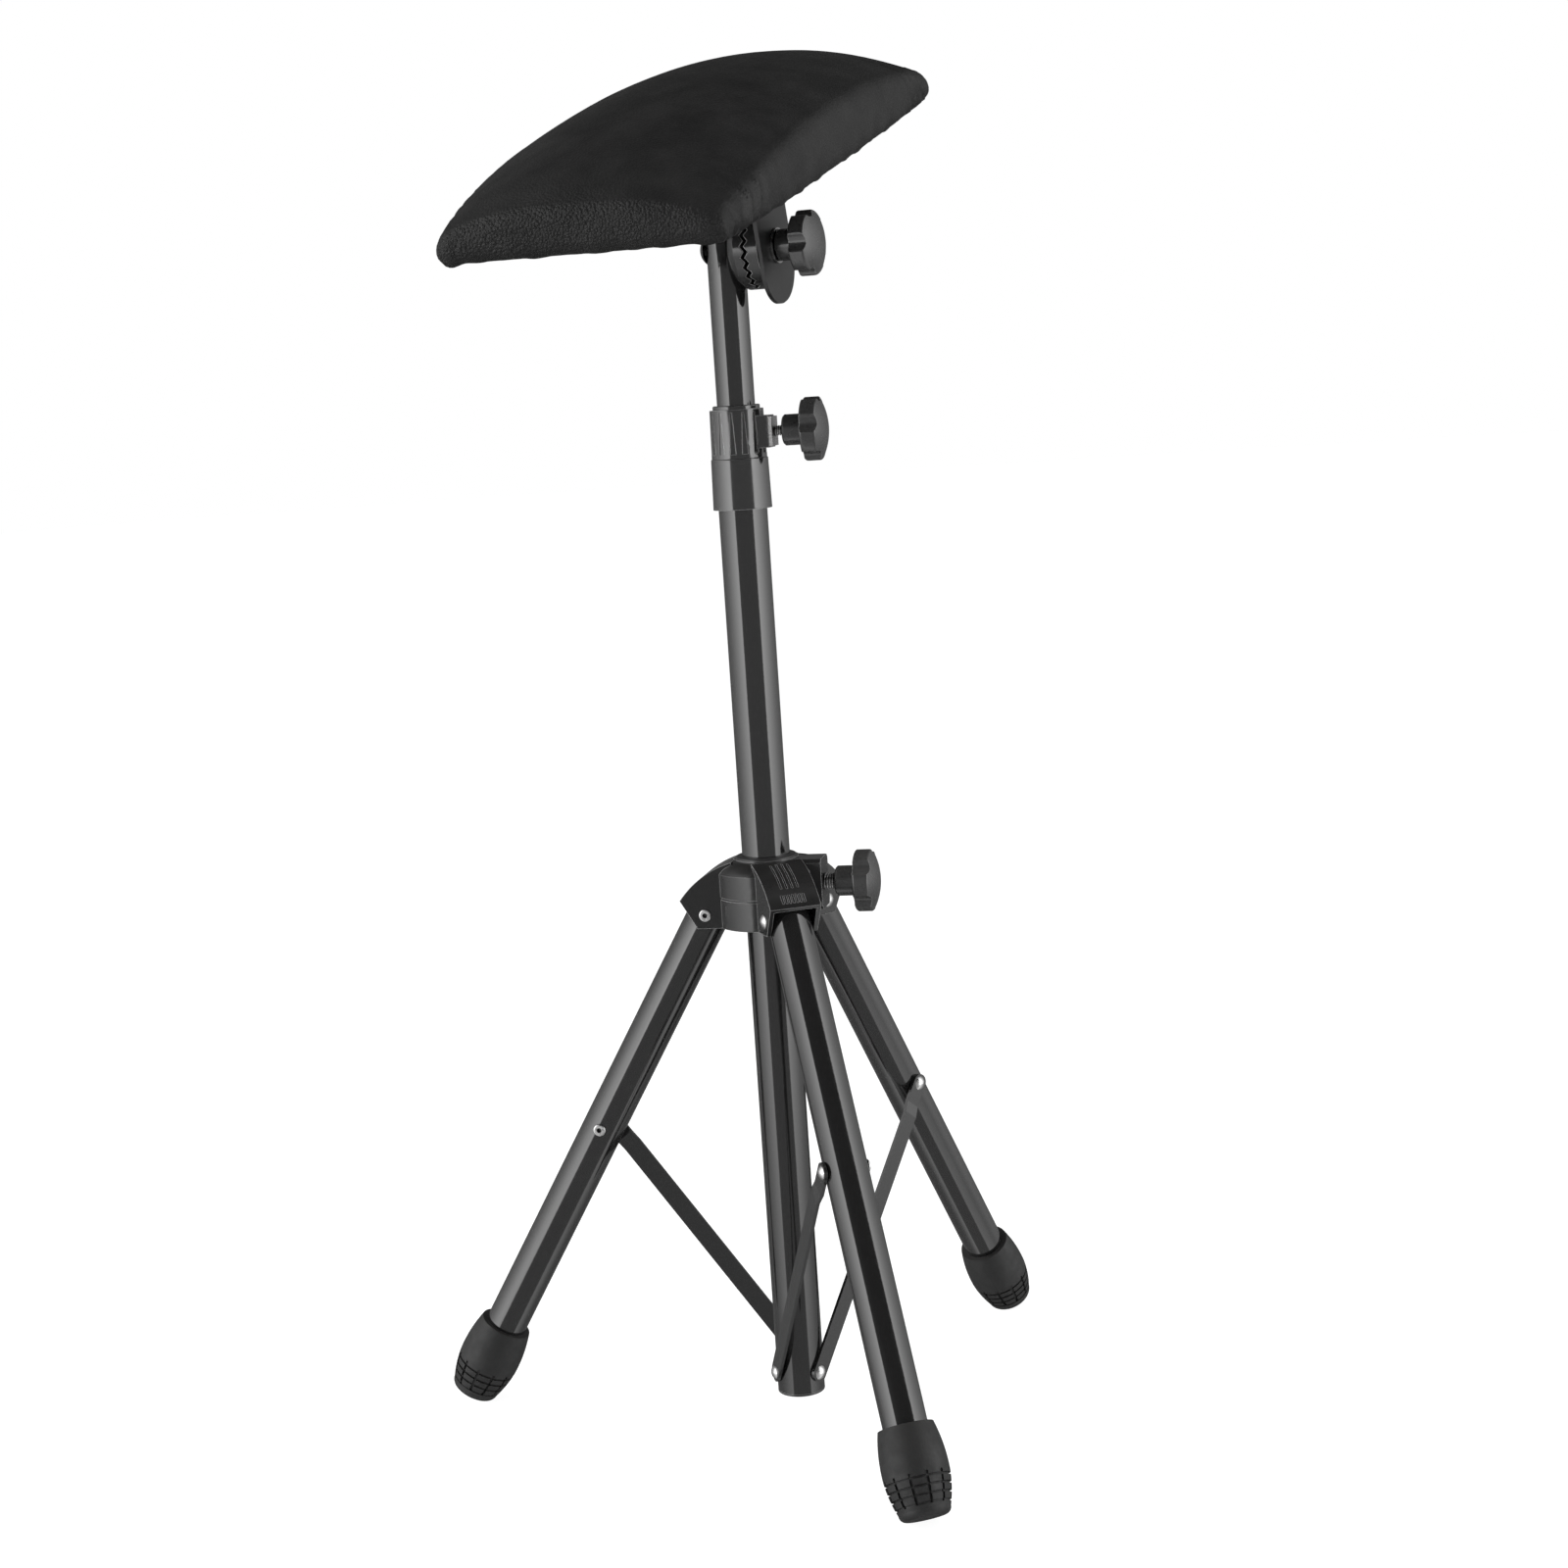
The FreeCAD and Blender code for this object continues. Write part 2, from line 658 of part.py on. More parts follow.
def roof_grooves(body, name, first_share, last_share):
    """A row of parallel grooves that run down the roof of the first arm."""
    cuts = []
    count = int(size(name + "_count"))
    for place in range(count):
        offset = "(%d - (%s_count - 1) / 2) * %s_pitch" % (place, name, name)
        sketch = new_sketch(body, "%s_outline_%d" % (name, place + 1), "XZ_Plane", offset)
        draw_outline(sketch, [
            roof_point(first_share, "overrun"),
            roof_point(first_share, "0 - grip_groove_depth"),
            roof_point(last_share, "0 - grip_groove_depth"),
            roof_point(last_share, "overrun"),
        ])
        cuts.append(pocket(body, sketch, "%s_%d" % (name, place + 1), name + "_width", side="Symmetric"))
    return cuts


def tripod_hub():
    """Moulded hub in its own frame: its arms start along X, its screw boss is along -X."""
    body = new_body("tripod_hub")
    bore = "column_diameter / 2 + running_gap + hub_bush_wall + seat_gap"
    outline = new_sketch(body, "hub_outline", "XZ_Plane")
    draw_outline(outline, [
        (bore, "0 - hub_drop"),
        ("hub_diameter / 2", "0 - hub_drop"),
        ("hub_diameter / 2", "hub_groove_rise - hub_groove_width / 2"),
        ("hub_diameter / 2 - hub_groove_depth", "hub_groove_rise - hub_groove_width / 2"),
        ("hub_diameter / 2 - hub_groove_depth", "hub_groove_rise + hub_groove_width / 2"),
        ("hub_diameter / 2", "hub_groove_rise + hub_groove_width / 2"),
        ("hub_diameter / 2", "hub_shoulder_rise"),
        ("hub_crown_diameter / 2 + hub_lip_step", "hub_rise - hub_lip_step", "left", "hub_crown_curve"),
        ("hub_crown_diameter / 2", "hub_rise - hub_lip_step"),
        ("hub_crown_diameter / 2", "hub_rise"),
        (bore, "hub_rise"),
    ])
    revolve(body, outline, "hub_barrel")
    arm = new_sketch(body, "arm_outline", "XZ_Plane")
    draw_outline(arm, [
        ("arm_root_radius", "0 - hub_drop"),
        ("arm_heel_radius", "0 - hub_drop"),
        ("arm_reach", "arm_tip_rise"),
        ("arm_root_radius", "hub_rise - arm_root_drop", "left", ROOF_CURVE),
    ])
    block = pad(body, arm, "hub_arm", ARM_WIDTH, side="Symmetric")
    around(body, [block], "hub_arms", "leg_count")
    grooves = roof_grooves(body, "grip_groove", "grip_start_share", "grip_end_share")
    grooves += roof_grooves(body, "tip_notch", "tip_notch_start_share", "tip_notch_end_share")
    around(body, grooves, "hub_grips", "leg_count")
    boss = new_sketch(body, "hub_boss_outline", "YZ_Plane")
    side = "hub_boss_width / 2"
    low = "hub_screw_rise - hub_boss_height / 2"
    high = "hub_screw_rise + hub_boss_height / 2"
    draw_outline(boss, [
        ("hub_boss_chamfer - " + side, low),
        (side + " - hub_boss_chamfer", low),
        (side, low + " + hub_boss_chamfer"),
        (side, high + " - hub_boss_chamfer"),
        (side + " - hub_boss_chamfer", high),
        ("hub_boss_chamfer - " + side, high),
        ("0 - " + side, high + " - hub_boss_chamfer"),
        ("0 - " + side, low + " + hub_boss_chamfer"),
    ])
    pad(body, boss, "hub_boss", "hub_boss_reach", reverse=True)
    slot = new_sketch(body, "arm_slot_outline", "XZ_Plane")
    draw_outline(slot, [
        ("arm_slot_radius", "0 - hub_drop - overrun"),
        ("arm_reach + overrun", "0 - hub_drop - overrun"),
        ("arm_reach + overrun", "arm_tip_rise - arm_tip_wall - overrun"),
        ("arm_reach", "arm_tip_rise - arm_tip_wall"),
        ("arm_ceiling_break", "arm_ceiling_rise"),
        ("arm_slot_radius", "arm_ceiling_rise"),
    ])
    gap = pocket(body, slot, "hub_slot", "leg_diameter + 2 * side_gap", side="Symmetric")
    pin = new_sketch(body, "leg_pivot_outline", "XZ_Plane")
    draw_circle(pin, "leg_pivot_radius", 0, "rivet_diameter + 2 * seat_gap")
    hole = pocket(body, pin, "leg_pivot_hole", ARM_WIDTH + " + overrun", side="Symmetric")
    around(body, [gap, hole], "hub_slots", "leg_count")
    inner = new_sketch(body, "hub_bore_outline", "XY_Plane")
    draw_circle(inner, 0, 0, "2 * (%s)" % bore)
    pocket(body, inner, "hub_bore", side="Symmetric")
    screw = new_sketch(body, "hub_screw_outline", "YZ_Plane")
    draw_circle(screw, 0, "hub_screw_rise", "hub_screw_diameter + 2 * running_gap")
    pocket(body, screw, "hub_screw_hole")
    seat = new_sketch(body, "hub_nut_outline", "YZ_Plane", "hub_nut_thick - hub_boss_reach")
    draw_box(seat, 0, "hub_screw_rise", "hub_nut_side + 2 * seat_gap", "hub_nut_side + 2 * seat_gap")
    pocket(body, seat, "hub_nut_seat")
    body.Placement = leg_frame(0)
    return body


def hub_bush():
    body = new_body("hub_bush")
    bore = "column_diameter / 2 + running_gap"
    outline = new_sketch(body, "bush_outline", "XZ_Plane")
    draw_outline(outline, [
        (bore, "0 - hub_drop"),
        (bore + " + hub_bush_wall", "0 - hub_drop"),
        (bore + " + hub_bush_wall", "hub_rise"),
        (bore + " + hub_bush_wall + hub_bush_lip", "hub_rise"),
        (bore + " + hub_bush_wall", "hub_rise + hub_bush_lip", "left", "hub_bush_lip"),
        (bore, "hub_rise + hub_bush_lip"),
    ])
    revolve(body, outline, "bush_turned")
    hole = new_sketch(body, "bush_hole_outline", "YZ_Plane")
    draw_circle(hole, 0, "hub_screw_rise", "hub_screw_diameter + 2 * running_gap")
    pocket(body, hole, "bush_screw_hole", reverse=True)
    body.Placement = HUB
    return body


# Legs, feet and their rivets

def leg_tube(index):
    """Leg with its pivot at the origin and its foot down along -Z."""
    body = new_body("leg_tube_%d" % (index + 1))
    label = body.Label
    ring = new_sketch(body, label + "_ring", "XY_Plane", "foot_sole - leg_length")
    draw_circle(ring, 0, 0, "leg_diameter")
    draw_circle(ring, 0, 0, "leg_diameter - 2 * leg_wall")
    pad(body, ring, label + "_wall", "leg_length - foot_sole + leg_over_pivot")
    pivot = new_sketch(body, label + "_pivot_outline", "XZ_Plane")
    draw_circle(pivot, 0, 0, "rivet_diameter + 2 * running_gap")
    pocket(body, pivot, label + "_pivot_hole", side="Symmetric")
    stud = new_sketch(body, label + "_stud_outline", "XZ_Plane")
    draw_circle(stud, 0, "0 - brace_station", "rivet_diameter + 2 * seat_gap")
    pocket(body, stud, label + "_stud_hole", side="Symmetric")
    body.Placement = leg_placement(index)
    return body


def foot(index):
    """Rubber foot with the middle of its sole at the origin and a flat where it meets the floor."""
    body = new_body("foot_%d" % (index + 1))
    label = body.Label
    outline = new_sketch(body, label + "_outline", "XZ_Plane")
    draw_outline(outline, [
        (0, 0),
        ("foot_base_diameter / 2 - foot_corner", 0),
        ("foot_base_diameter / 2", "foot_corner", "left", "foot_corner"),
        ("foot_belly_diameter / 2", "foot_belly_height", "left", "foot_lower_curve"),
        ("foot_rim_diameter / 2", "foot_length", "left", "foot_upper_curve"),
        ("leg_diameter / 2 + seat_gap", "foot_length"),
        ("leg_diameter / 2 + seat_gap", "foot_sole"),
        (0, "foot_sole"),
    ])
    revolve(body, outline, label + "_turned")
    rings = new_sketch(body, label + "_ring_outline", "XZ_Plane")
    for turn in range(int(size("foot_ring_count"))):
        level = "(foot_ring_start + %d * foot_ring_pitch)" % turn
        skin = "(foot_base_diameter + (foot_belly_diameter - foot_base_diameter) * %s / foot_belly_height) / 2" % level
        draw_outline(rings, [
            (skin + " - foot_ring_depth", level),
            (skin + " + overrun", level),
            (skin + " + overrun", level + " + foot_ring_width"),
            (skin + " - foot_ring_depth", level + " + foot_ring_width"),
        ])
    revolve(body, rings, label + "_rings", cut=True)
    notch = new_sketch(body, label + "_notch_outline", "XZ_Plane")
    low = "foot_base_diameter / 2"
    high = "foot_belly_diameter / 2"
    draw_outline(notch, [
        (low + " - foot_ring_depth", "foot_ring_start"),
        (low + " + overrun", "foot_ring_start"),
        (high + " + overrun", "foot_belly_height"),
        (high + " - foot_ring_depth", "foot_belly_height"),
    ])
    cut = pocket(body, notch, label + "_notch", "foot_notch_width", side="Symmetric")
    around(body, [cut], label + "_notches", "foot_notch_count")
    floor = new_sketch(body, label + "_floor_outline", "XZ_Plane")
    sunk = "((foot_base_diameter / 2 - foot_corner) * sin(leg_angle) + foot_corner * (1 - cos(leg_angle)) - foot_flat)"
    draw_outline(floor, [
        ("0 - foot_base_diameter", "0 - foot_base_diameter"),
        (0, "0 - foot_base_diameter"),
        (0, "0 - %s / cos(leg_angle)" % sunk),
        ("0 - foot_base_diameter", "(foot_base_diameter * sin(leg_angle) - %s) / cos(leg_angle)" % sunk),
    ])
    pocket(body, floor, label + "_floor_flat", side="Symmetric")
    body.Placement = leg_placement(index) * shifted(z=-size("leg_length"))
    return body


def rivet(label, grip, placement, head=True, tail="eye"):
    """Rivet along Z with the seat of its head at the origin.  Its tail is an open eye that is
    rolled over, or a blind bulb."""
    body = new_body(label)
    shank = "rivet_diameter / 2"
    corners = []
    if tail == "eye":
        end = "0 - %s - rivet_tail_height" % grip
        corners += [
            (0, end + " + rivet_eye_depth"),
            ("rivet_eye_diameter / 2", end + " + rivet_eye_depth"),
            ("rivet_eye_diameter / 2", end),
            ("rivet_tail_diameter / 2 - rivet_tail_height", end),
            ("rivet_tail_diameter / 2", "0 - %s" % grip, "left", "rivet_tail_height"),
            (shank, "0 - %s" % grip),
        ]
    elif tail == "bulb":
        corners += [
            (0, "0 - %s - rivet_bulb_length" % grip),
            (shank, "0 - %s - rivet_bulb_length" % grip),
            ("rivet_tail_diameter / 2", "0 - %s" % grip),
            (shank, "0 - %s" % grip),
        ]
    else:
        corners += [
            (0, "0 - %s" % grip),
            (shank, "0 - %s" % grip),
        ]
    if head:
        corners += [
            (shank, 0),
            ("rivet_head_diameter / 2", 0),
            (0, "rivet_head_height", "left",
             "((rivet_head_diameter / 2)^2 + rivet_head_height^2) / (2 * rivet_head_height)"),
        ]
    else:
        corners += [
            (shank, 0),
            (0, 0),
        ]
    outline = new_sketch(body, label + "_outline", "XZ_Plane")
    draw_outline(outline, corners)
    revolve(body, outline, label + "_turned")
    body.Placement = placement
    return body


def leg_pivot_rivet(index):
    seat = -size(ARM_WIDTH) / 2
    turn = FreeCAD.Placement(FreeCAD.Vector(size("leg_pivot_radius"), seat, 0), FreeCAD.Rotation(X, RIGHT_ANGLE))
    return rivet("leg_pivot_rivet_%d" % (index + 1), ARM_WIDTH, leg_frame(index) * turn)


def leg_stud(index):
    """The part of the brace rivet that goes through the leg, flush on the brace's side."""
    start = FreeCAD.Vector(0, -size("leg_diameter / 2"), -size("brace_station"))
    turn = FreeCAD.Placement(start, FreeCAD.Rotation(X, RIGHT_ANGLE))
    return rivet("leg_stud_%d" % (index + 1), "leg_diameter", leg_placement(index) * turn, head=False)


# Braces

def brace_frame(index):
    """Frame at a brace's lower pivot: Z along the brace, Y away from the column."""
    lean = math.degrees(math.atan2(size(BRACE_REACH), size(BRACE_RISE)))
    side = -size("column_diameter / 2 + 2 * running_gap")
    drop = size("brace_foot_height") - pivot_height
    turn = FreeCAD.Rotation(Y, lean) * FreeCAD.Rotation(Z, 2 * RIGHT_ANGLE)
    return leg_frame(index) * FreeCAD.Placement(FreeCAD.Vector(0, side, drop), turn)


def brace(index):
    """Flat bar with a small joggle, so that its upper end lies close to the leg."""
    body = new_body("brace_%d" % (index + 1))
    label = body.Label
    low = "0 - brace_width / 2"
    high = BRACE_LENGTH + " + brace_width / 2"
    bend_end = BRACE_LENGTH + " - brace_end_flat"
    bend_start = bend_end + " - brace_joggle_run"
    outline = new_sketch(body, label + "_outline", "YZ_Plane")
    draw_outline(outline, [
        (0, low),
        ("brace_thick", low),
        ("brace_thick", bend_start),
        ("brace_thick - " + BRACE_JOGGLE, bend_end),
        ("brace_thick - " + BRACE_JOGGLE, high),
        ("0 - " + BRACE_JOGGLE, high),
        ("0 - " + BRACE_JOGGLE, bend_end),
        (0, bend_start),
    ])
    bar = pad(body, outline, label + "_bar", "brace_width", side="Symmetric")
    fillet(body, bar, label + "_ends", "brace_corner", lambda edge: straight_along(edge, Y))
    holes = new_sketch(body, label + "_hole_outline", "XZ_Plane")
    draw_circle(holes, 0, 0, "rivet_diameter + 2 * running_gap")
    draw_circle(holes, 0, BRACE_LENGTH, "rivet_diameter + 2 * seat_gap")
    pocket(body, holes, label + "_holes", side="Symmetric")
    body.Placement = brace_frame(index)
    return body


def outward_of_brace(index, along, seat):
    """Frame on a brace with Z pointing away from the column."""
    return brace_frame(index) * FreeCAD.Placement(
        FreeCAD.Vector(0, seat, along), FreeCAD.Rotation(X, -RIGHT_ANGLE))


def column_rivet(index):
    grip = "(brace_thick + 4 * running_gap + column_wall + rivet_bulb_relief)"
    seat = size("brace_thick + 2 * running_gap")
    placement = outward_of_brace(index, 0, seat)
    return rivet("column_rivet_%d" % (index + 1), grip, placement, tail="bulb")


def brace_stud(index):
    """The part of the brace rivet that the brace carries: its head and the neck in the bar."""
    seat = size("brace_thick - " + BRACE_JOGGLE)
    placement = outward_of_brace(index, size(BRACE_LENGTH), seat)
    return rivet("brace_stud_%d" % (index + 1), "brace_thick", placement, tail="flush")


# Upper tube

def upper_tube():
    """Tube in the frame of the tilt axis, with a cross hole for the tilt bolt."""
    body = new_body("upper_tube")
    ring = new_sketch(body, "upper_ring", "XY_Plane", "upper_top_rise - upper_length")
    draw_circle(ring, 0, 0, "upper_diameter")
    draw_circle(ring, 0, 0, "upper_diameter - 2 * upper_wall")
    pad(body, ring, "upper_wall_pad", "upper_length")
    hole = new_sketch(body, "upper_bolt_outline", "YZ_Plane")
    draw_circle(hole, 0, 0, "tilt_bolt_diameter + 2 * seat_gap")
    pocket(body, hole, "upper_bolt_hole", side="Symmetric")
    body.Placement = UPPER
    return body


def upper_tube_cap():
    body = new_body("upper_tube_cap")
    inner = "upper_diameter / 2 - upper_wall - seat_gap"
    outline = new_sketch(body, "cap_outline", "XZ_Plane")
    draw_outline(outline, [
        (0, 0),
        (inner + " - cap_wall", 0),
        (inner + " - cap_wall", "0 - cap_depth"),
        (inner, "0 - cap_depth"),
        (inner, 0),
        ("upper_diameter / 2", 0),
        ("upper_diameter / 2", "cap_lip / 3"),
        ("upper_diameter / 2 - cap_lip * 2 / 3", "cap_lip", "left", "cap_lip"),
        (0, "cap_lip"),
    ])
    revolve(body, outline, "cap_turned")
    body.Placement = UPPER * shifted(z=size("upper_top_rise"))
    return body


def upper_tube_glide():
    """Plastic bush at the lower end of the upper tube that guides it inside the column."""
    body = new_body("upper_tube_glide")
    inner = "upper_diameter / 2 + running_gap"
    outer = "column_diameter / 2 - column_wall - running_gap"
    outline = new_sketch(body, "glide_outline", "XZ_Plane")
    draw_outline(outline, [
        (inner + " - glide_lip_overlap", "0 - glide_lip"),
        (outer, "0 - glide_lip"),
        (outer, "glide_length"),
        (inner, "glide_length"),
        (inner, "0 - 2 * running_gap"),
        (inner + " - glide_lip_overlap", "0 - 2 * running_gap"),
    ])
    revolve(body, outline, "glide_turned")
    body.Placement = UPPER * shifted(z=size("upper_top_rise - upper_length"))
    return body


# Serrated tilt joint

def cut_teeth(body, label):
    """Radial grooves that deepen towards the rim, spaced evenly round the face at -side_gap / 2."""
    profiles = []
    spots = (("inner", "joint_tooth_inner_diameter / 2"), ("outer", "joint_diameter / 2 + overrun"))
    for spot, reach in spots:
        sketch = new_sketch(body, "%s_%s_groove" % (label, spot), "YZ_Plane", reach)
        half = "((%s) * (tan(half_turn / joint_teeth) - joint_ridge / joint_diameter))" % reach
        depth = "((%s) * joint_tooth_depth * 2 / joint_diameter)" % reach
        draw_outline(sketch, [
            ("0 - " + half, "0 - side_gap / 2"),
            (0, "0 - side_gap / 2 - " + depth),
            (half, "0 - side_gap / 2"),
        ])
        profiles.append(sketch)
    groove = body.newObject("PartDesign::SubtractiveLoft", label + "_groove")
    groove.Profile = profiles[0]
    groove.Sections = [profiles[1]]
    groove.Ruled = True
    doc.recompute()
    around(body, [groove], label + "_grooves", "joint_teeth")


def fixed_serrated_disc():
    """Disc beside the upper tube: teeth on its face, a rounded back and a saddle for the tube."""
    body = new_body("fixed_serrated_disc")
    bore = "tilt_bolt_diameter / 2 + seat_gap"
    outline = new_sketch(body, "fixed_disc_outline", "XZ_Plane")
    draw_outline(outline, [
        (bore, "0 - joint_back_depth"),
        ("joint_back_diameter / 2", "0 - joint_back_depth"),
        ("joint_diameter / 2", "0 - joint_rim_thick", "left", "joint_back_curve"),
        ("joint_diameter / 2", "0 - side_gap / 2"),
        (bore, "0 - side_gap / 2"),
    ])
    revolve(body, outline, "fixed_disc_turned")
    cut_teeth(body, "fixed_disc")
    saddle = new_sketch(body, "saddle_outline", "YZ_Plane")
    draw_circle(saddle, 0, "0 - joint_station", "upper_diameter + 2 * seat_gap")
    pocket(body, saddle, "saddle", side="Symmetric")
    body.Placement = UPPER * shifted(x=size("joint_station")) * ALONG_X
    return body


def moving_serrated_disc():
    """Disc on the bracket whose teeth face those of the fixed disc, half a tooth round."""
    body = new_body("moving_serrated_disc")
    bore = "tilt_bolt_diameter / 2 + running_gap"
    back = "0 - joint_plate_thick - side_gap / 2"
    outline = new_sketch(body, "moving_disc_outline", "XZ_Plane")
    draw_outline(outline, [
        (bore, back),
        ("joint_diameter / 2", back),
        ("joint_diameter / 2", "0 - side_gap / 2"),
        (bore, "0 - side_gap / 2"),
    ])
    revolve(body, outline, "moving_disc_turned")
    cut_teeth(body, "moving_disc")
    half_tooth = FreeCAD.Placement(FreeCAD.Vector(), FreeCAD.Rotation(Z, FULL_TURN / 2 / size("joint_teeth")))
    body.Placement = TILTED * shifted(x=size("joint_station")) * FACING_BACK * half_tooth
    return body


def tilt_bolt():
    """Bolt along Z with the seat of its head at the origin."""
    body = new_body("tilt_bolt")
    head = "tilt_bolt_head_diameter / 2"
    length = "(upper_diameter / 2 + %s + tilt_bolt_in_knob - 2 * running_gap)" % KNOB_STATION
    outline = new_sketch(body, "bolt_outline", "XZ_Plane")
    draw_outline(outline, [
        (0, "0 - tilt_bolt_head_height"),
        (head, 0, "left", "((%s)^2 + tilt_bolt_head_height^2) / (2 * tilt_bolt_head_height)" % head),
        ("tilt_bolt_diameter / 2", 0),
        ("tilt_bolt_diameter / 2", length + " - knob_sleeve_chamfer"),
        ("tilt_bolt_diameter / 2 - knob_sleeve_chamfer", length),
        (0, length),
    ])
    revolve(body, outline, "bolt_turned")
    body.Placement = UPPER * shifted(x=-size("upper_diameter / 2 + 2 * running_gap")) * ALONG_X
    return body


def turned_ring(label, inner, outer, thick, placement):
    body = new_body(label)
    outline = new_sketch(body, label + "_outline", "XZ_Plane")
    draw_outline(outline, [
        (inner, 0),
        (outer, 0),
        (outer, thick),
        (inner, thick),
    ])
    revolve(body, outline, label + "_turned")
    body.Placement = placement
    return body


# Bracket and cushion

def pad_bracket():
    """Bent strip: a tongue on the tilt joint and a flange under the cushion."""
    body = new_body("pad_bracket")
    near = TONGUE_STATION
    far = "(%s + bracket_thick)" % TONGUE_STATION
    end = "(%s - bracket_flange)" % far
    outline = new_sketch(body, "bracket_outline", "XZ_Plane")
    draw_outline(outline, [
        (near, "0 - bracket_toe"),
        (far, "0 - bracket_toe"),
        (far, "bracket_height - bracket_thick - bracket_bend"),
        (near + " - bracket_bend", "bracket_height", "left", "bracket_thick + bracket_bend"),
        (end, "bracket_height"),
        (end, "bracket_height - bracket_thick"),
        (near + " - bracket_bend", "bracket_height - bracket_thick"),
        (near, "bracket_height - bracket_thick - bracket_bend", "right", "bracket_bend"),
    ])
    strip = pad(body, outline, "bracket_strip", "bracket_width", side="Symmetric")
    low = -size("bracket_toe")
    left = size(end)

    def toe_corner(edge):
        return straight_along(edge, X) and edge.BoundBox.ZMax < low + size("overrun")

    def flange_corner(edge):
        return straight_along(edge, Z) and edge.BoundBox.XMax < left + size("overrun")

    toe = fillet(body, strip, "bracket_toe_round", "bracket_toe_curve", toe_corner)
    fillet(body, toe, "bracket_flange_corners", "bracket_corner", flange_corner)
    pivot = new_sketch(body, "bracket_pivot_outline", "YZ_Plane")
    draw_circle(pivot, 0, 0, "tilt_bolt_diameter + 2 * running_gap")
    pocket(body, pivot, "bracket_pivot_hole", side="Symmetric")
    holes = new_sketch(body, "bracket_screw_outline", "XY_Plane")
    for x, y in SCREW_PLACES:
        draw_circle(holes, x, y, "screw_diameter + 2 * seat_gap")
    pocket(body, holes, "bracket_screw_holes", reverse=True)
    body.Placement = TILTED
    return body


def as_piece(label, shape, placement):
    piece = doc.addObject("Part::Feature", label)
    piece.Label = label
    piece.Shape = shape
    piece.Placement = placement
    return piece


def centred_box(width, length, low, high, corner=0):
    """A box about the Z axis between two heights, its upright edges rounded."""
    box = Part.makeBox(width, length, high - low, FreeCAD.Vector(-width / 2, -length / 2, low))
    if corner:
        box = box.makeFillet(corner, [edge for edge in box.Edges if straight_along(edge, Z)])
    return box


def screw_shafts(diameter, low, high):
    """Upright cylinders at the bracket's screw places, in the cushion's frame."""
    shafts = []
    for x, y in SCREW_PLACES:
        spot = FreeCAD.Vector(size(x) - size("pad_shift"), size(y), low)
        shafts.append(Part.makeCylinder(diameter / 2, high - low, spot))
    return shafts


def bracket_screws():
    """Pan-head screws that hold the cushion's board on the bracket."""
    under = -size("bracket_thick")
    heads = screw_shafts(size("screw_head_diameter"), under - size("screw_head_height"), under)
    shanks = screw_shafts(size("screw_diameter"), under, size("cover_thick + screw_bite"))
    screws = [head.fuse(shank).removeSplitter() for head, shank in zip(heads, shanks)]
    return as_piece("bracket_screws", Part.makeCompound(screws), CUSHION)


def cushion_section(share, inset):
    """Closed outline of the cushion across its width: flat below, drawn-in sides that bulge,
    rounded shoulders and a crown.  The share runs from -1 at one end to 1 at the other."""
    fullness = 1 - share ** 2
    y = share * (size("pad_length / 2") - inset)
    half = size("pad_width / 2") - inset - size("pad_end_round") * share ** 4
    side = size("pad_corner_height") + size("pad_side_height - pad_corner_height") * fullness - inset
    crown = size("pad_end_height") + size("pad_crown_height - pad_end_height") * fullness - inset
    low = inset
    shoulder = size("pad_shoulder")
    hip = half - size("pad_draw_in")
    waist = half - size("pad_side_bulge")
    turn = shoulder * (1 - math.sqrt(2) / 2)

    def at(x, z):
        return FreeCAD.Vector(x, y, z)

    edges = [Part.LineSegment(at(-hip, low), at(hip, low)).toShape()]
    edges.append(Part.Arc(at(hip, low), at(half, (low + side - shoulder) / 2), at(waist, side - shoulder)).toShape())
    edges.append(Part.Arc(at(waist, side - shoulder), at(waist - turn, side - turn), at(waist - shoulder, side)).toShape())
    edges.append(Part.Arc(at(waist - shoulder, side), at(0, crown), at(shoulder - waist, side)).toShape())
    edges.append(Part.Arc(at(shoulder - waist, side), at(turn - waist, side - turn), at(-waist, side - shoulder)).toShape())
    edges.append(Part.Arc(at(-waist, side - shoulder), at(-half, (low + side - shoulder) / 2), at(-hip, low)).toShape())
    return Part.Wire(edges)


def cushion_form(inset):
    sections = [cushion_section(share, inset) for share in SECTION_SHARES]
    return Part.makeLoft(sections, True, False)


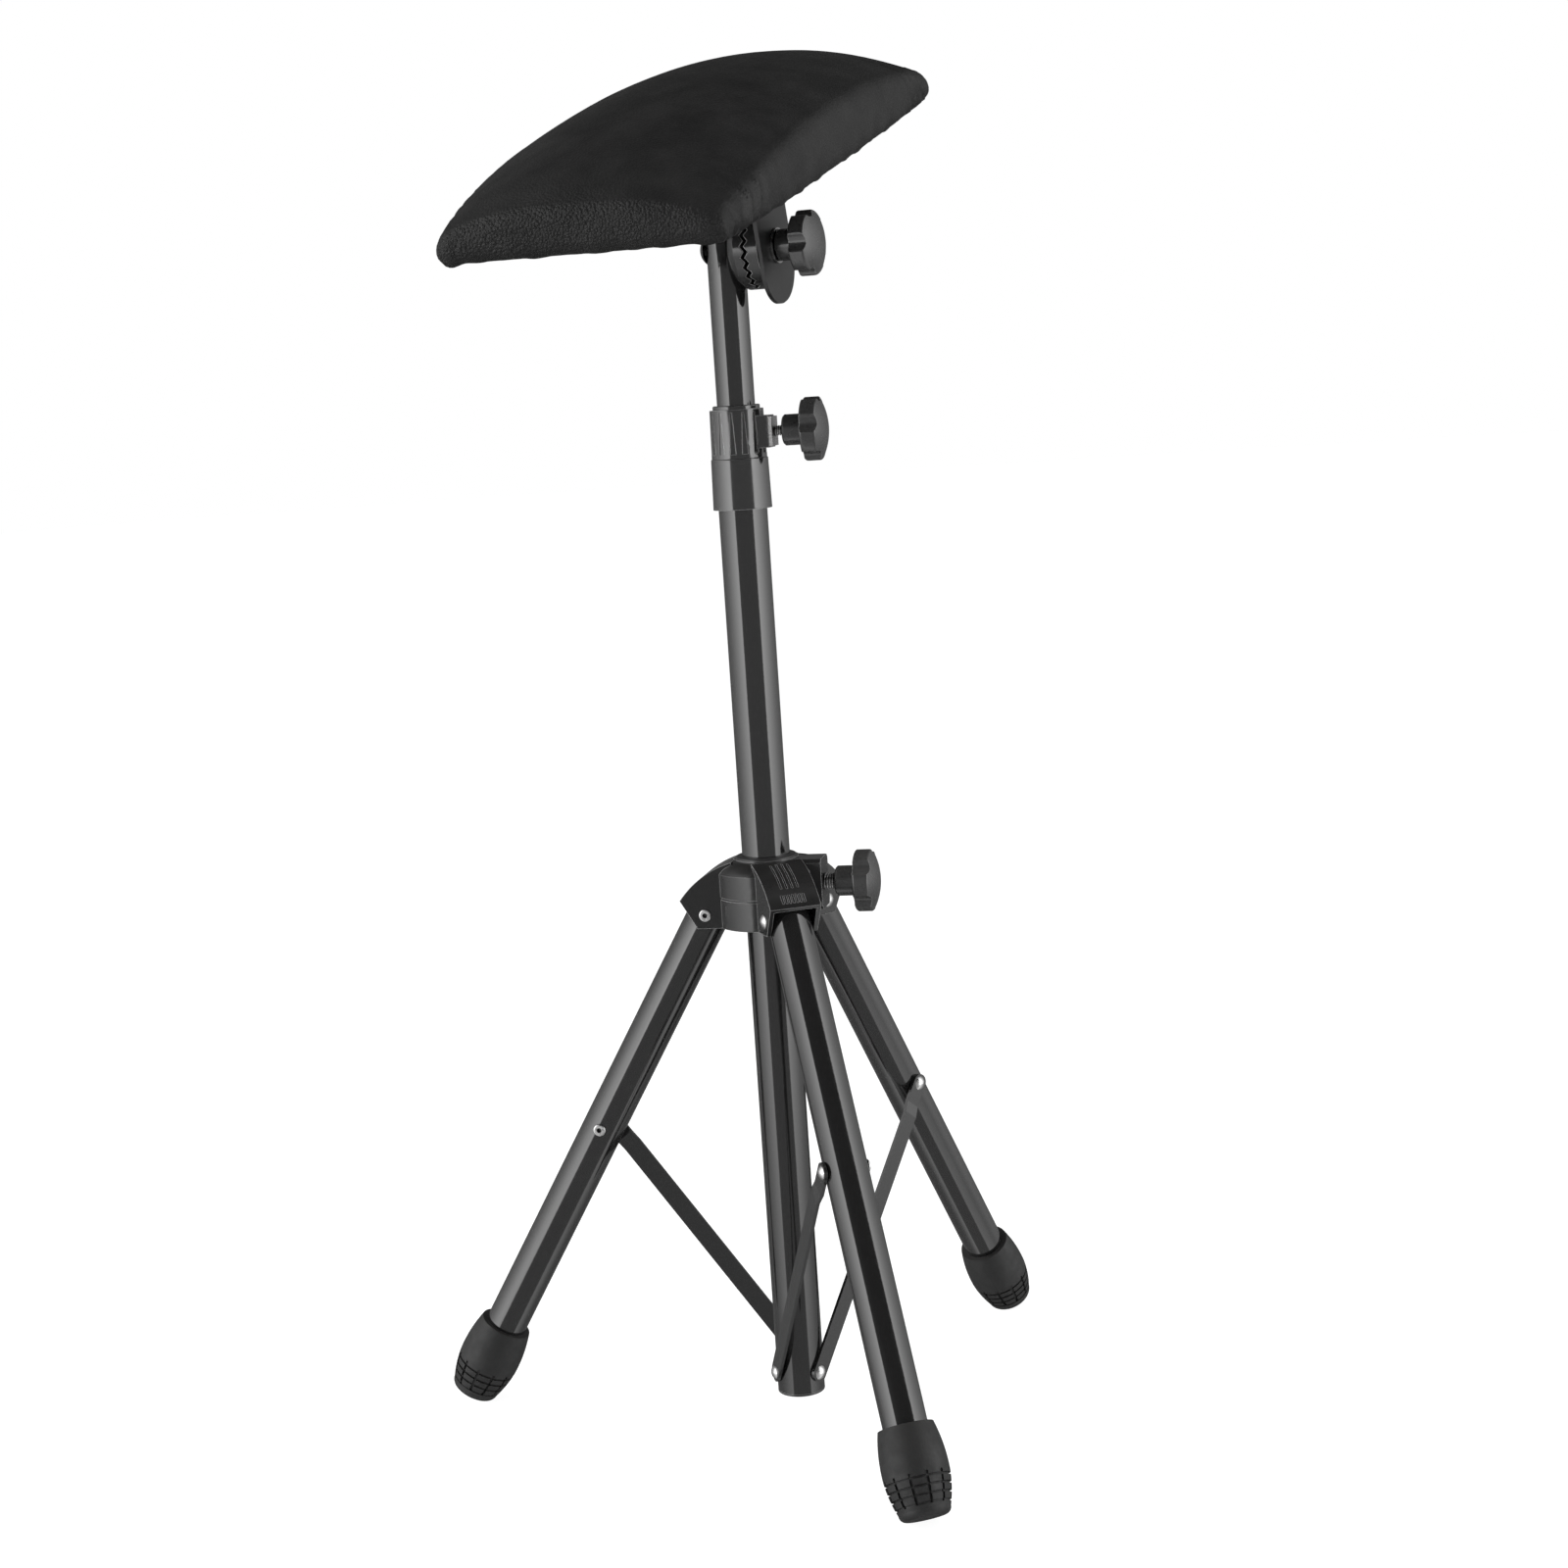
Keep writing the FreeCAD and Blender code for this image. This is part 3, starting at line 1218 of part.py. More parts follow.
def cushion_pieces():
    """Board, foam, cover, underside cloth and staples, in the frame of the cushion's underside."""
    skin = size("cover_thick")
    narrow = size("pad_width - 2 * (cover_thick + pad_end_round + pad_draw_in + board_edge_gap)")
    length = size("pad_length - 2 * (cover_thick + board_edge_gap)")
    hem = size("2 * cover_hem")
    board_top = size("cover_thick + board_thick")
    block = centred_box(narrow, length, skin, board_top, size("board_corner"))
    window = centred_box(narrow - hem, length - hem, 0, skin)
    slack = 2 * size("side_gap")
    cloth = centred_box(narrow - hem - slack, length - hem - slack, 0, skin)
    outer = cushion_form(0)
    inner = cushion_form(skin)
    cover = outer.cut(inner).cut(window)
    foam = inner.cut(block)
    board = block
    for shaft in screw_shafts(size("screw_diameter + 2 * seat_gap"), 0, size("cover_thick + screw_bite + seat_gap")):
        board = board.cut(shaft)
        cloth = cloth.cut(shaft)
    staples = []
    edge_x = (narrow - hem) / 2 + size("staple_margin")
    edge_y = (length - hem) / 2 + size("staple_margin")
    thick = size("staple_thick")
    pitch = size("staple_pitch")
    for along, across, turned in ((edge_y, edge_x, False), (edge_x, edge_y, True)):
        count = int(along // pitch)
        for step in range(-count, count + 1):
            for flip in (-1, 1):
                staple = centred_box(thick, size("staple_length"), -thick, 0)
                if turned:
                    staple.rotate(FreeCAD.Vector(), Z, RIGHT_ANGLE)
                    staple.translate(FreeCAD.Vector(step * pitch, flip * across, 0))
                else:
                    staple.translate(FreeCAD.Vector(flip * across, step * pitch, 0))
                staples.append(staple)
    return [
        as_piece("pad_board", board, CUSHION),
        as_piece("pad_foam", foam, CUSHION),
        as_piece("pad_cover", cover, CUSHION),
        as_piece("pad_underside_cloth", cloth, CUSHION),
        as_piece("pad_staples", Part.makeCompound(staples), CUSHION),
    ]


CUSHION = TILTED * shifted(x=size("pad_shift"), z=size("bracket_height"))
SCREW_PLACES = [
    (x, y)
    for x in (TONGUE_STATION + " - bracket_bend - screw_margin",
              TONGUE_STATION + " + bracket_thick - bracket_flange + screw_margin")
    for y in ("bracket_width / 2 - screw_margin", "screw_margin - bracket_width / 2")
]


def checked(pieces):
    """Stop unless every object is up to date and every piece is a sound solid."""
    doc.recompute()
    for item in doc.Objects:
        for state in ("Invalid", "Error"):
            if state in item.State:
                raise RuntimeError("%s is %s" % (item.Label, state))
    for piece in pieces:
        if piece.Shape.isNull() or not piece.Shape.isValid():
            raise RuntimeError("%s has no valid shape" % piece.Label)


def write(pieces):
    os.makedirs("parts", exist_ok=True)
    for piece in pieces:
        piece.Shape.exportStep("parts/%s.step" % piece.Label)


def clamp_pieces():
    """Nuts, clamp screws and star knobs of the collar, the hub and the tilt joint."""
    collar_axis = STAND * shifted(z=collar_bottom + size("collar_height - collar_screw_drop"))
    hub_axis = HUB * shifted(z=size("hub_screw_rise"))
    pieces = []
    clamps = (
        ("collar", collar_axis, "upper_diameter / 2 + 2 * running_gap",
         "collar_boss_reach - collar_nut_inset + collar_nut_thick"),
        ("hub", hub_axis, "column_diameter / 2 + 2 * running_gap", "hub_boss_reach"),
    )
    for name, axis, tip, nut_face in clamps:
        diameter = name + "_screw_diameter"
        station = name + "_knob_station"
        pieces.append(square_nut(
            name + "_nut", name + "_nut_side", name + "_nut_thick", diameter,
            axis * shifted(x=size(nut_face)) * ALONG_X))
        pieces.append(clamp_screw(
            name + "_screw", diameter, "%s + knob_screw_depth - (%s)" % (station, tip),
            axis * shifted(x=size(tip)) * ALONG_X))
        pieces.append(star_knob(
            name + "_knob", "(%s + 2 * seat_gap)" % diameter, "(knob_screw_depth + seat_gap)",
            axis * shifted(x=size(station)) * ALONG_X))
    bolt = "tilt_bolt_diameter / 2 + running_gap"
    start = UPPER * shifted(x=size(KNOB_STATION)) * ALONG_X
    insert = bolt + " + tilt_insert_wall"
    pieces.append(turned_ring(
        "tilt_washer", bolt, "tilt_washer_diameter / 2", "tilt_washer_thick",
        start * shifted(z=-size("tilt_washer_thick + running_gap"))))
    pieces.append(turned_ring("tilt_knob_insert", bolt, insert, "tilt_bolt_in_knob", start))
    pieces.append(star_knob(
        "tilt_knob", "(2 * (%s + seat_gap))" % insert, "(tilt_bolt_in_knob + seat_gap)", start))
    return pieces


parts = [column_tube(), column_plug(), collar(), tripod_hub(), hub_bush()]
parts += clamp_pieces()
for leg in range(int(size("leg_count"))):
    parts += [leg_tube(leg), foot(leg), leg_pivot_rivet(leg), leg_stud(leg)]
    parts += [brace(leg), column_rivet(leg), brace_stud(leg)]
parts += [upper_tube(), upper_tube_cap(), upper_tube_glide()]
parts += [fixed_serrated_disc(), moving_serrated_disc(), tilt_bolt()]
parts += [pad_bracket(), bracket_screws()]
parts += cushion_pieces()
checked(parts)
write(parts)
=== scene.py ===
import json
import math

import bmesh
import bpy
import numpy as np
from mathutils import Matrix, Vector, noise
from mathutils.bvhtree import BVHTree


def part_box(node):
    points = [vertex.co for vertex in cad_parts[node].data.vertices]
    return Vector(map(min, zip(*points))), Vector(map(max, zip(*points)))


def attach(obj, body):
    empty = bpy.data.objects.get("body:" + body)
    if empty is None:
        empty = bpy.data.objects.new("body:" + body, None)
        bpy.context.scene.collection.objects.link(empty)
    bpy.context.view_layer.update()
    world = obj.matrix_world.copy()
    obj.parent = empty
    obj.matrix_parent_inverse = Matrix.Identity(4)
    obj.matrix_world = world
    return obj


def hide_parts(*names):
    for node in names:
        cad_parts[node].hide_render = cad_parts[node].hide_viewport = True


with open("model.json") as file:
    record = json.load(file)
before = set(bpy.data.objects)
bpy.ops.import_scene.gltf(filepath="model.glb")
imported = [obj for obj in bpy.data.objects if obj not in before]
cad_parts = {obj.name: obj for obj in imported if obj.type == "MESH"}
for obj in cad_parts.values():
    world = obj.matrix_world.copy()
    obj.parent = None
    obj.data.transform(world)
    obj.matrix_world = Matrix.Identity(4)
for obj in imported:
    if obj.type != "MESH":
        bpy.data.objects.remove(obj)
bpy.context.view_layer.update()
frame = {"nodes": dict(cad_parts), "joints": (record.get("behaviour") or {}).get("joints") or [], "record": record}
nodes = frame["nodes"]
JOINTS = {joint["name"]: joint for joint in frame["joints"]}


# Camera: place in metres, turn, pitch and roll in degrees, focal length in pixels of the photograph

PHOTO_PIXELS = 1600
CAMERA_PLACE = (0.41675, -1.62391, 0.62897)
CAMERA_TURN = -12.213
CAMERA_PITCH = 8.432
CAMERA_ROLL = -3.759
CAMERA_FOCAL = 2899.33
SENSOR_WIDTH = 36.0


def add_camera():
    turn, pitch, roll = (math.radians(v) for v in (CAMERA_TURN, CAMERA_PITCH, CAMERA_ROLL))
    level = math.cos(pitch)
    ahead = Vector((math.sin(turn) * level, math.cos(turn) * level, -math.sin(pitch)))
    right = Vector((math.cos(turn), -math.sin(turn), 0))
    up = right.cross(ahead)
    side = math.cos(roll) * right + math.sin(roll) * up
    top = -math.sin(roll) * right + math.cos(roll) * up
    camera = bpy.data.objects.new("camera", bpy.data.cameras.new("camera"))
    camera.matrix_world = Matrix((side, top, -ahead)).transposed().to_4x4()
    camera.matrix_world.translation = CAMERA_PLACE
    camera.data.sensor_fit = "HORIZONTAL"
    camera.data.sensor_width = SENSOR_WIDTH
    camera.data.lens = SENSOR_WIDTH * CAMERA_FOCAL / PHOTO_PIXELS
    camera.data.clip_end = 50.0
    bpy.context.scene.collection.objects.link(camera)
    bpy.context.scene.camera = camera


# Sizes of the cushion in the frame of its underside, in millimetres and degrees

PAD_WIDTH = 181.0
PAD_LENGTH = 348.0
PAD_SHIFT = -7.0
PAD_LIFT = 43.5
PAD_TILT = 15.6
CORNER_HEIGHT = 16.0
SIDE_HEIGHT = 35.5
END_HEIGHT = 34.5
CROWN_HEIGHT = 57.0
END_ROUND = 7.0
DRAW_IN = 2.4
HEM = 20.0
BOARD_INSET = 10.0
STAPLE_PITCH = 26.0

# The cover's form: how far its ends are lowered, its grid, and the rays that find the CAD's cover
END_DROP = 10.0
END_DROP_RUN = 38.0
GRID_ACROSS, GRID_ALONG, GRID_RISE = 56, 96, 12
CORE_ACROSS, CORE_ALONG, CORE_RISE = 0.8, 0.9, 0.75
RAY_START = 120

# Swelling and settling; the voxel is in metres
SHRINK = 2.6
VOXEL = 0.0042
SWELL_FRAMES = 20
SWELL_CAP = 4.5
HELD_HEIGHT = 4.0
FIRST_SETTLE, LAST_SETTLE = 6.0, 0.8
SHOULDER_START, SHOULDER_RUN = 9.0, 6.0
SHOULDER_PASSES = 6

# Folds, hem and underside
HEM_HEIGHT = 16.0
FOLD_PITCH = 12.0
FOLD_DEPTH, LESSER_FOLD_DEPTH = 2.2, 0.5
FOLD_PLACE = 0.8
FOLD_SPREAD = 46.0
FOLD_HEIGHT = 36.0
SAG = 2.6
CORNER_SAG = 1.2
LOWEST = -2.2
WINDOW_HEIGHT = 1.5
WINDOW_GAP_X, WINDOW_GAP_Y = 3.5, -6.0


def pad_matrix():
    tilt = JOINTS["tilt"]
    axis = Vector(tilt["axis"])
    swivel = math.atan2(axis.y, axis.x)
    return (Matrix.Translation(tilt["pos_m"]) @ Matrix.Rotation(swivel, 4, "Z")
            @ Matrix.Rotation(math.radians(PAD_TILT), 4, "X")
            @ Matrix.Translation((PAD_SHIFT / 1000, 0, PAD_LIFT / 1000)) @ Matrix.Scale(0.001, 4))


# Materials

class Surface:
    """A principled material with object coordinates and small helpers for its nodes."""

    def __init__(self, name, **values):
        self.material = bpy.data.materials.new(name)
        self.material.use_nodes = True
        self.tree = self.material.node_tree
        self.shader = self.tree.nodes["Principled BSDF"]
        for socket, value in values.items():
            self.shader.inputs[socket.replace("_", " ")].default_value = value
        self.coordinates = self.tree.nodes.new("ShaderNodeTexCoord").outputs
        self.place = self.coordinates["Object"]
        self.normal = None

    def node(self, kind, inputs=(), **settings):
        made = self.tree.nodes.new("ShaderNode" + kind)
        for key, value in settings.items():
            setattr(made, key, value)
        for key, value in dict(inputs).items():
            self.put(value, made.inputs[key])
        return made

    def put(self, value, socket):
        if isinstance(value, bpy.types.NodeSocket):
            self.tree.links.new(value, socket)
        else:
            socket.default_value = value

    def noise(self, scale, detail=2.0, rough=0.5, place=None):
        place = place or self.place
        inputs = {"Vector": place, "Scale": scale, "Detail": detail, "Roughness": rough}
        return self.node("TexNoise", inputs).outputs["Fac"]

    def spread(self, value, low, high, start=0.0, end=1.0):
        inputs = {"Value": value, "From Min": start, "From Max": end, "To Min": low, "To Max": high}
        return self.node("MapRange", inputs).outputs["Result"]

    def blend(self, share, first, second):
        made = self.node("Mix", data_type="RGBA")
        self.put(share, made.inputs[0])
        self.put(first, made.inputs[6])
        self.put(second, made.inputs[7])
        return made.outputs[2]

    def maths(self, kind, first, second):
        made = self.node("Math", {0: first, 1: second}, operation=kind)
        return made.outputs[0]

    def bump(self, height, distance, strength=1.0):
        inputs = {"Height": height, "Distance": distance, "Strength": strength}
        if self.normal is not None:
            inputs["Normal"] = self.normal
        self.normal = self.node("Bump", inputs).outputs["Normal"]
        self.put(self.normal, self.shader.inputs["Normal"])

    def dot(self, first, second):
        made = self.node("VectorMath", {0: first, 1: second}, operation="DOT_PRODUCT")
        return made.outputs["Value"]

    def soften(self, radius):
        """Shade the sharp edges as if they were rounded."""
        self.normal = self.node("Bevel", {"Radius": radius}, samples=8).outputs["Normal"]
        self.put(self.normal, self.shader.inputs["Normal"])

    def painted_edge_highlight(self, radius):
        """Soften the edges, and give a share that is high on those that stand out: the mask for a painted
        highlight along the outer edges.
        """
        self.soften(radius)
        along = self.dot(self.normal, self.node("NewGeometry").outputs["True Normal"])
        edge = self.spread(along, 1.0, 0.0, 0.75, 0.97)
        outer = self.spread(self.recess(0.002), 0.0, 1.0, 0.6, 0.9)
        return self.maths("MULTIPLY", edge, outer)

    def recess(self, depth):
        """A share that is low in holes and corners."""
        return self.node("AmbientOcclusion", {"Distance": depth}, samples=8).outputs["AO"]

    def dust(self):
        """A share that is high on faces that look up, broken up by noise."""
        up = self.node("NewGeometry").outputs["Normal"]
        tilt = self.node("SeparateXYZ", {"Vector": up}).outputs["Z"]
        facing = self.spread(tilt, 0.0, 1.0, 0.3, 1.0)
        return self.maths("MULTIPLY", facing, self.noise(60.0, 5.0, 0.7))


ENAMEL_EDGE = 0.0004
PLASTIC_EDGE = 0.0008


def grey(level, warm=0.0):
    return (level * (1 + warm), level, level * (1 - warm), 1.0)


def enamel(name, coat, smooth, rough):
    s = Surface(name, Metallic=0.0, Coat_Weight=coat, Coat_Roughness=0.04)
    dusty = s.maths("MULTIPLY", s.dust(), 0.5)
    s.put(s.blend(dusty, grey(0.010), grey(0.035, 0.03)), s.shader.inputs["Base Color"])
    s.put(s.spread(s.noise(45.0, 6.0, 0.7), smooth, rough, 0.35, 0.7), s.shader.inputs["Roughness"])
    s.soften(ENAMEL_EDGE)
    s.bump(s.noise(520.0, 2.0), 0.00004, 0.5)
    s.bump(s.noise(2600.0, 1.0), 0.00001, 0.5)
    return s.material


def gloss_plastic(name, coat):
    s = Surface(name, Metallic=0.0, Coat_Weight=coat, Coat_Roughness=0.08)
    plain = s.blend(s.maths("MULTIPLY", s.dust(), 0.5), grey(0.012), grey(0.04, 0.03))
    # Outer edges are blended to light grey: a painted highlight along them.
    s.put(s.blend(s.painted_edge_highlight(PLASTIC_EDGE), plain, grey(0.4)), s.shader.inputs["Base Color"])
    s.put(s.spread(s.noise(70.0, 5.0, 0.65), 0.12, 0.22, 0.35, 0.7), s.shader.inputs["Roughness"])
    s.bump(s.noise(260.0, 2.0), 0.00008, 0.5)
    s.bump(s.noise(1500.0, 3.0), 0.00002, 0.5)
    return s.material


def knob_plastic():
    s = Surface("knob_plastic_look", Metallic=0.0, Coat_Weight=0.5, Coat_Roughness=0.16)
    plain = s.blend(s.dust(), grey(0.030), grey(0.06, 0.02))
    # Outer edges are blended to light grey: a painted highlight along them.
    s.put(s.blend(s.painted_edge_highlight(PLASTIC_EDGE), plain, grey(0.32)), s.shader.inputs["Base Color"])
    s.put(s.spread(s.noise(120.0, 5.0, 0.65), 0.24, 0.36, 0.35, 0.7), s.shader.inputs["Roughness"])
    s.bump(s.noise(2200.0, 3.0), 0.00005, 0.6)
    return s.material


def bush_plastic():
    s = Surface("bush_plastic_look", Metallic=0.0)
    s.put(s.blend(s.noise(90.0, 3.0), grey(0.014), grey(0.024)), s.shader.inputs["Base Color"])
    s.put(s.spread(s.noise(150.0, 4.0), 0.28, 0.4), s.shader.inputs["Roughness"])
    s.bump(s.noise(1800.0, 2.0), 0.00003, 0.5)
    return s.material


def steel(name, low, high):
    s = Surface(name, Metallic=1.0)
    plated = s.blend(s.noise(240.0, 4.0, 0.6), grey(low, 0.01), grey(high))
    # Holes and corners turn near black: painted shade in the recesses.
    free_of_painted_shade = s.spread(s.recess(0.003), 0.0, 1.0, 0.35, 0.8)
    s.put(s.blend(free_of_painted_shade, grey(0.01), plated), s.shader.inputs["Base Color"])
    s.put(s.spread(s.noise(420.0, 5.0, 0.7), 0.18, 0.42, 0.3, 0.7), s.shader.inputs["Roughness"])
    s.bump(s.noise(1400.0, 3.0), 0.00003, 0.5)
    return s.material


def rubber():
    s = Surface("foot_rubber_look", Metallic=0.0)
    s.put(s.blend(s.dust(), grey(0.010), grey(0.026, 0.04)), s.shader.inputs["Base Color"])
    s.put(s.spread(s.noise(110.0, 6.0, 0.7), 0.5, 0.72, 0.3, 0.7), s.shader.inputs["Roughness"])
    s.bump(s.noise(700.0, 4.0, 0.7), 0.00012, 0.6)
    return s.material


def leather():
    s = Surface("pad_leather_look", Metallic=0.0, Specular_IOR_Level=0.22)
    warp = s.node("TexNoise", {"Vector": s.place, "Scale": 350.0, "Detail": 2.0}).outputs["Color"]
    shake = s.node("VectorMath", {0: warp, 1: (0.0012,) * 3}, operation="MULTIPLY").outputs[0]
    place = s.node("VectorMath", {0: s.place, 1: shake}, operation="ADD").outputs[0]
    inputs = {"Vector": place, "Scale": 680.0, "Smoothness": 0.35}
    cells = s.node("TexVoronoi", inputs, feature="SMOOTH_F1")
    grain = s.maths("SUBTRACT", 1.0, cells.outputs["Distance"])
    fine = s.noise(2400.0, 3.0, 0.6)
    patches = s.spread(s.noise(35.0, 4.0, 0.6), 0.0, 1.0, 0.35, 0.7)
    s.put(s.blend(patches, grey(0.010), grey(0.015, 0.01)), s.shader.inputs["Base Color"])
    s.put(s.spread(s.noise(50.0, 5.0, 0.6), 0.42, 0.56, 0.35, 0.7), s.shader.inputs["Roughness"])
    lengthways = tuple(pad_matrix().to_3x3().normalized().col[1])
    facing = s.dot(s.coordinates["Normal"], lengthways)
    s.bump(s.noise(110.0, 4.0, 0.6), 0.0006, 0.15)
    at_ends = s.spread(s.maths("MULTIPLY", facing, facing), 0.25, 1.0, 0.2, 0.7)
    s.bump(grain, 0.0009, at_ends)
    s.bump(fine, 0.00006, 0.5)
    return s.material


def foam():
    s = Surface("pad_foam_look", Metallic=0.0, Roughness=0.95)
    cells = s.noise(500.0, 4.0)
    s.put(s.blend(cells, (0.62, 0.56, 0.38, 1), (0.8, 0.75, 0.58, 1)),
          s.shader.inputs["Base Color"])
    s.bump(s.noise(1200.0, 3.0), 0.0004, 0.8)
    return s.material


def plywood():
    s = Surface("pad_board_look", Metallic=0.0, Roughness=0.7)
    stretched = s.node("Mapping", {"Vector": s.place, "Scale": (60.0, 6.0, 6.0)}).outputs["Vector"]
    grain = s.noise(6.0, 6.0, 0.7, stretched)
    s.put(s.blend(grain, (0.42, 0.28, 0.15, 1), (0.66, 0.5, 0.32, 1)),
          s.shader.inputs["Base Color"])
    s.bump(grain, 0.0003, 0.5)
    return s.material


def dust_cloth():
    s = Surface("under_cloth_look", Metallic=0.0, Roughness=0.9, Sheen_Weight=0.3)
    fibre = s.noise(1500.0, 5.0, 0.8)
    dots = s.node("TexVoronoi", {"Vector": s.place, "Scale": 420.0}).outputs["Distance"]
    s.put(s.blend(fibre, grey(0.012), grey(0.04)), s.shader.inputs["Base Color"])
    s.bump(s.maths("ADD", fibre, dots), 0.00025, 0.7)
    return s.material


LOOKS = {
    "black_enamel": enamel("black_enamel_look", 0.6, 0.06, 0.12),
    "black_plastic": gloss_plastic("black_plastic_look", 0.0),
    "knob_plastic": knob_plastic(),
    "bush_plastic": bush_plastic(),
    "bright_steel": steel("bright_steel_look", 0.48, 0.74),
    "foot_rubber": rubber(),
    "pad_leather": leather(),
    "pad_foam": foam(),
    "pad_board": plywood(),
    "under_cloth": dust_cloth(),
}

# Pieces that don't look like the rest of their slot
PIECE_LOOKS = {
    "hub_nut": steel("dark_steel_look", 0.05, 0.09),
    "collar": gloss_plastic("collar_plastic_look", 0.8),
    "pad_bracket": enamel("bracket_enamel_look", 0.0, 0.3, 0.4),
}


def dress_frame():
    for part in frame["record"]["subparts"]:
        look = PIECE_LOOKS.get(part["node"], LOOKS[part["material_slot"]])
        for slot in nodes[part["node"]].material_slots:
            slot.material = look


# Pieces

def add_piece(name, mesh, slot, body):
    piece = bpy.data.objects.new(name, mesh)
    bpy.context.scene.collection.objects.link(piece)
    mesh.materials.append(LOOKS[slot])
    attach(piece, body)
    return piece


def applied(piece):
    """The piece's mesh with its modifiers applied."""
    graph = bpy.context.evaluated_depsgraph_get()
    made = bpy.data.meshes.new_from_object(piece.evaluated_get(graph))
    piece.modifiers.clear()
    piece.data = made
    return made


# Cushion

def surface_tree(mesh):
    points = [v.co for v in mesh.vertices]
    return BVHTree.FromPolygons(points, [p.vertices[:] for p in mesh.polygons])


def pad_form():
    """A closed form laid on the outside of the cover: vertices in millimetres, and faces."""
    tree = surface_tree(nodes["pad_cover"].data)
    place = pad_matrix()
    back = place.inverted()
    verts, faces, index = [], [], {}

    def point(p, q, r):
        key = (round(p, 6), round(q, 6), round(r, 6))
        if key in index:
            return index[key]
        full = 1 - q * q
        half = PAD_WIDTH / 2 - END_ROUND * q ** 4
        side = CORNER_HEIGHT + (SIDE_HEIGHT - CORNER_HEIGHT) * full
        crown = END_HEIGHT + (CROWN_HEIGHT - END_HEIGHT) * full
        top = side + (crown - side) * (1 - p * p)
        height = (r + 1) / 2
        draw = DRAW_IN * (1 - height) ** 2
        spot = Vector((p * (half - draw), q * (PAD_LENGTH / 2 - draw), top * height))
        if r > -1:
            core_z = min(spot.z, side) * CORE_RISE + 1
            core = Vector((spot.x * CORE_ACROSS, spot.y * CORE_ALONG, core_z))
            far = core + (spot - core).normalized() * RAY_START
            ray = place.to_3x3() @ (core - far)
            hit = tree.ray_cast(place @ far, ray.normalized())[0]
            spot = back @ hit if hit else spot
        share = max(0.0, 1 - (PAD_LENGTH / 2 - abs(spot.y)) / END_DROP_RUN)
        middle = max(0.0, 1 - (spot.x / half) ** 2)
        spot.z *= 1 - END_DROP * middle * share ** 2 / END_HEIGHT
        verts.append(spot)
        index[key] = len(verts) - 1
        return index[key]

    def steps(count):
        return [-1 + 2 * i / count for i in range(count + 1)]

    def sheet(first, second, where):
        for a, a2 in zip(first, first[1:]):
            for b, b2 in zip(second, second[1:]):
                faces.append([where(a, b), where(a2, b), where(a2, b2), where(a, b2)])

    for end in (-1, 1):
        sheet(steps(GRID_ACROSS), steps(GRID_ALONG), lambda p, q: point(p, q, end))
        sheet(steps(GRID_ACROSS), steps(GRID_RISE), lambda p, r: point(p, end, r))
        sheet(steps(GRID_ALONG), steps(GRID_RISE), lambda q, r: point(end, q, r))
    return verts, faces


def closed_mesh(verts, faces):
    mesh = bpy.data.meshes.new("cushion")
    mesh.from_pydata(verts, [], faces)
    edit = bmesh.new()
    edit.from_mesh(mesh)
    bmesh.ops.recalc_face_normals(edit, faces=edit.faces)
    edit.to_mesh(mesh)
    edit.free()
    return mesh


def points_and_normals(mesh):
    """The mesh's vertices and their normals as arrays, in millimetres."""
    count = len(mesh.vertices)
    points = np.empty(count * 3)
    normals = np.empty(count * 3)
    mesh.vertices.foreach_get("co", points)
    mesh.vertices.foreach_get("normal", normals)
    return points.reshape(count, 3) * 1000, normals.reshape(count, 3)


def set_points(mesh, points):
    mesh.vertices.foreach_set("co", (points / 1000).ravel())
    mesh.update()


def inflate(piece, cap):
    """Cloth under pressure, its underside held, no point moving further than the cap."""
    start = points_and_normals(piece.data)[0]
    held = piece.vertex_groups.new(name="held")
    held.add([i for i, co in enumerate(start) if co[2] < HELD_HEIGHT], 1.0, "REPLACE")
    cloth = piece.modifiers.new("Cloth", "CLOTH")
    settings = cloth.settings
    settings.quality = 6
    settings.mass = 0.3
    settings.tension_stiffness = 25
    settings.compression_stiffness = 25
    settings.shear_stiffness = 10
    settings.bending_stiffness = 1.2
    settings.use_pressure = True
    settings.uniform_pressure_force = 4.0
    settings.vertex_group_mass = "held"
    settings.effector_weights.gravity = 0.0
    cloth.collision_settings.use_collision = False
    scene = bpy.context.scene
    for step in range(1, SWELL_FRAMES + 1):
        scene.frame_set(step)
    graph = bpy.context.evaluated_depsgraph_get()
    shift = points_and_normals(piece.evaluated_get(graph).data)[0] - start
    length = np.linalg.norm(shift, axis=1, keepdims=True)
    shift *= np.minimum(1.0, cap / np.maximum(length, 1e-9))
    piece.modifiers.clear()
    set_points(piece.data, start + shift)
    piece.vertex_groups.clear()
    scene.frame_set(1)


def settle(mesh, skin, reach):
    """Draw the mesh back to the laid form, by no more than the reach."""
    points = points_and_normals(mesh)[0]
    for i, co in enumerate(points):
        near, out = skin.find_nearest(Vector(co))[:2]
        lead = (near - Vector(co)).dot(out)
        points[i] += np.array(out) * max(-reach, min(reach, lead))
    set_points(mesh, points)


def soften_shoulders(piece):
    """Round the upper edges of the cushion; its lower rim keeps its shape."""
    upper = piece.vertex_groups.new(name="upper")
    for i, height in enumerate(points_and_normals(piece.data)[0][:, 2]):
        share = float(np.clip((height - SHOULDER_START) / SHOULDER_RUN, 0.0, 1.0))
        upper.add([i], share, "REPLACE")
    smooth = piece.modifiers.new("Smooth", "SMOOTH")
    smooth.factor = 0.5
    smooth.iterations = SHOULDER_PASSES
    smooth.vertex_group = "upper"


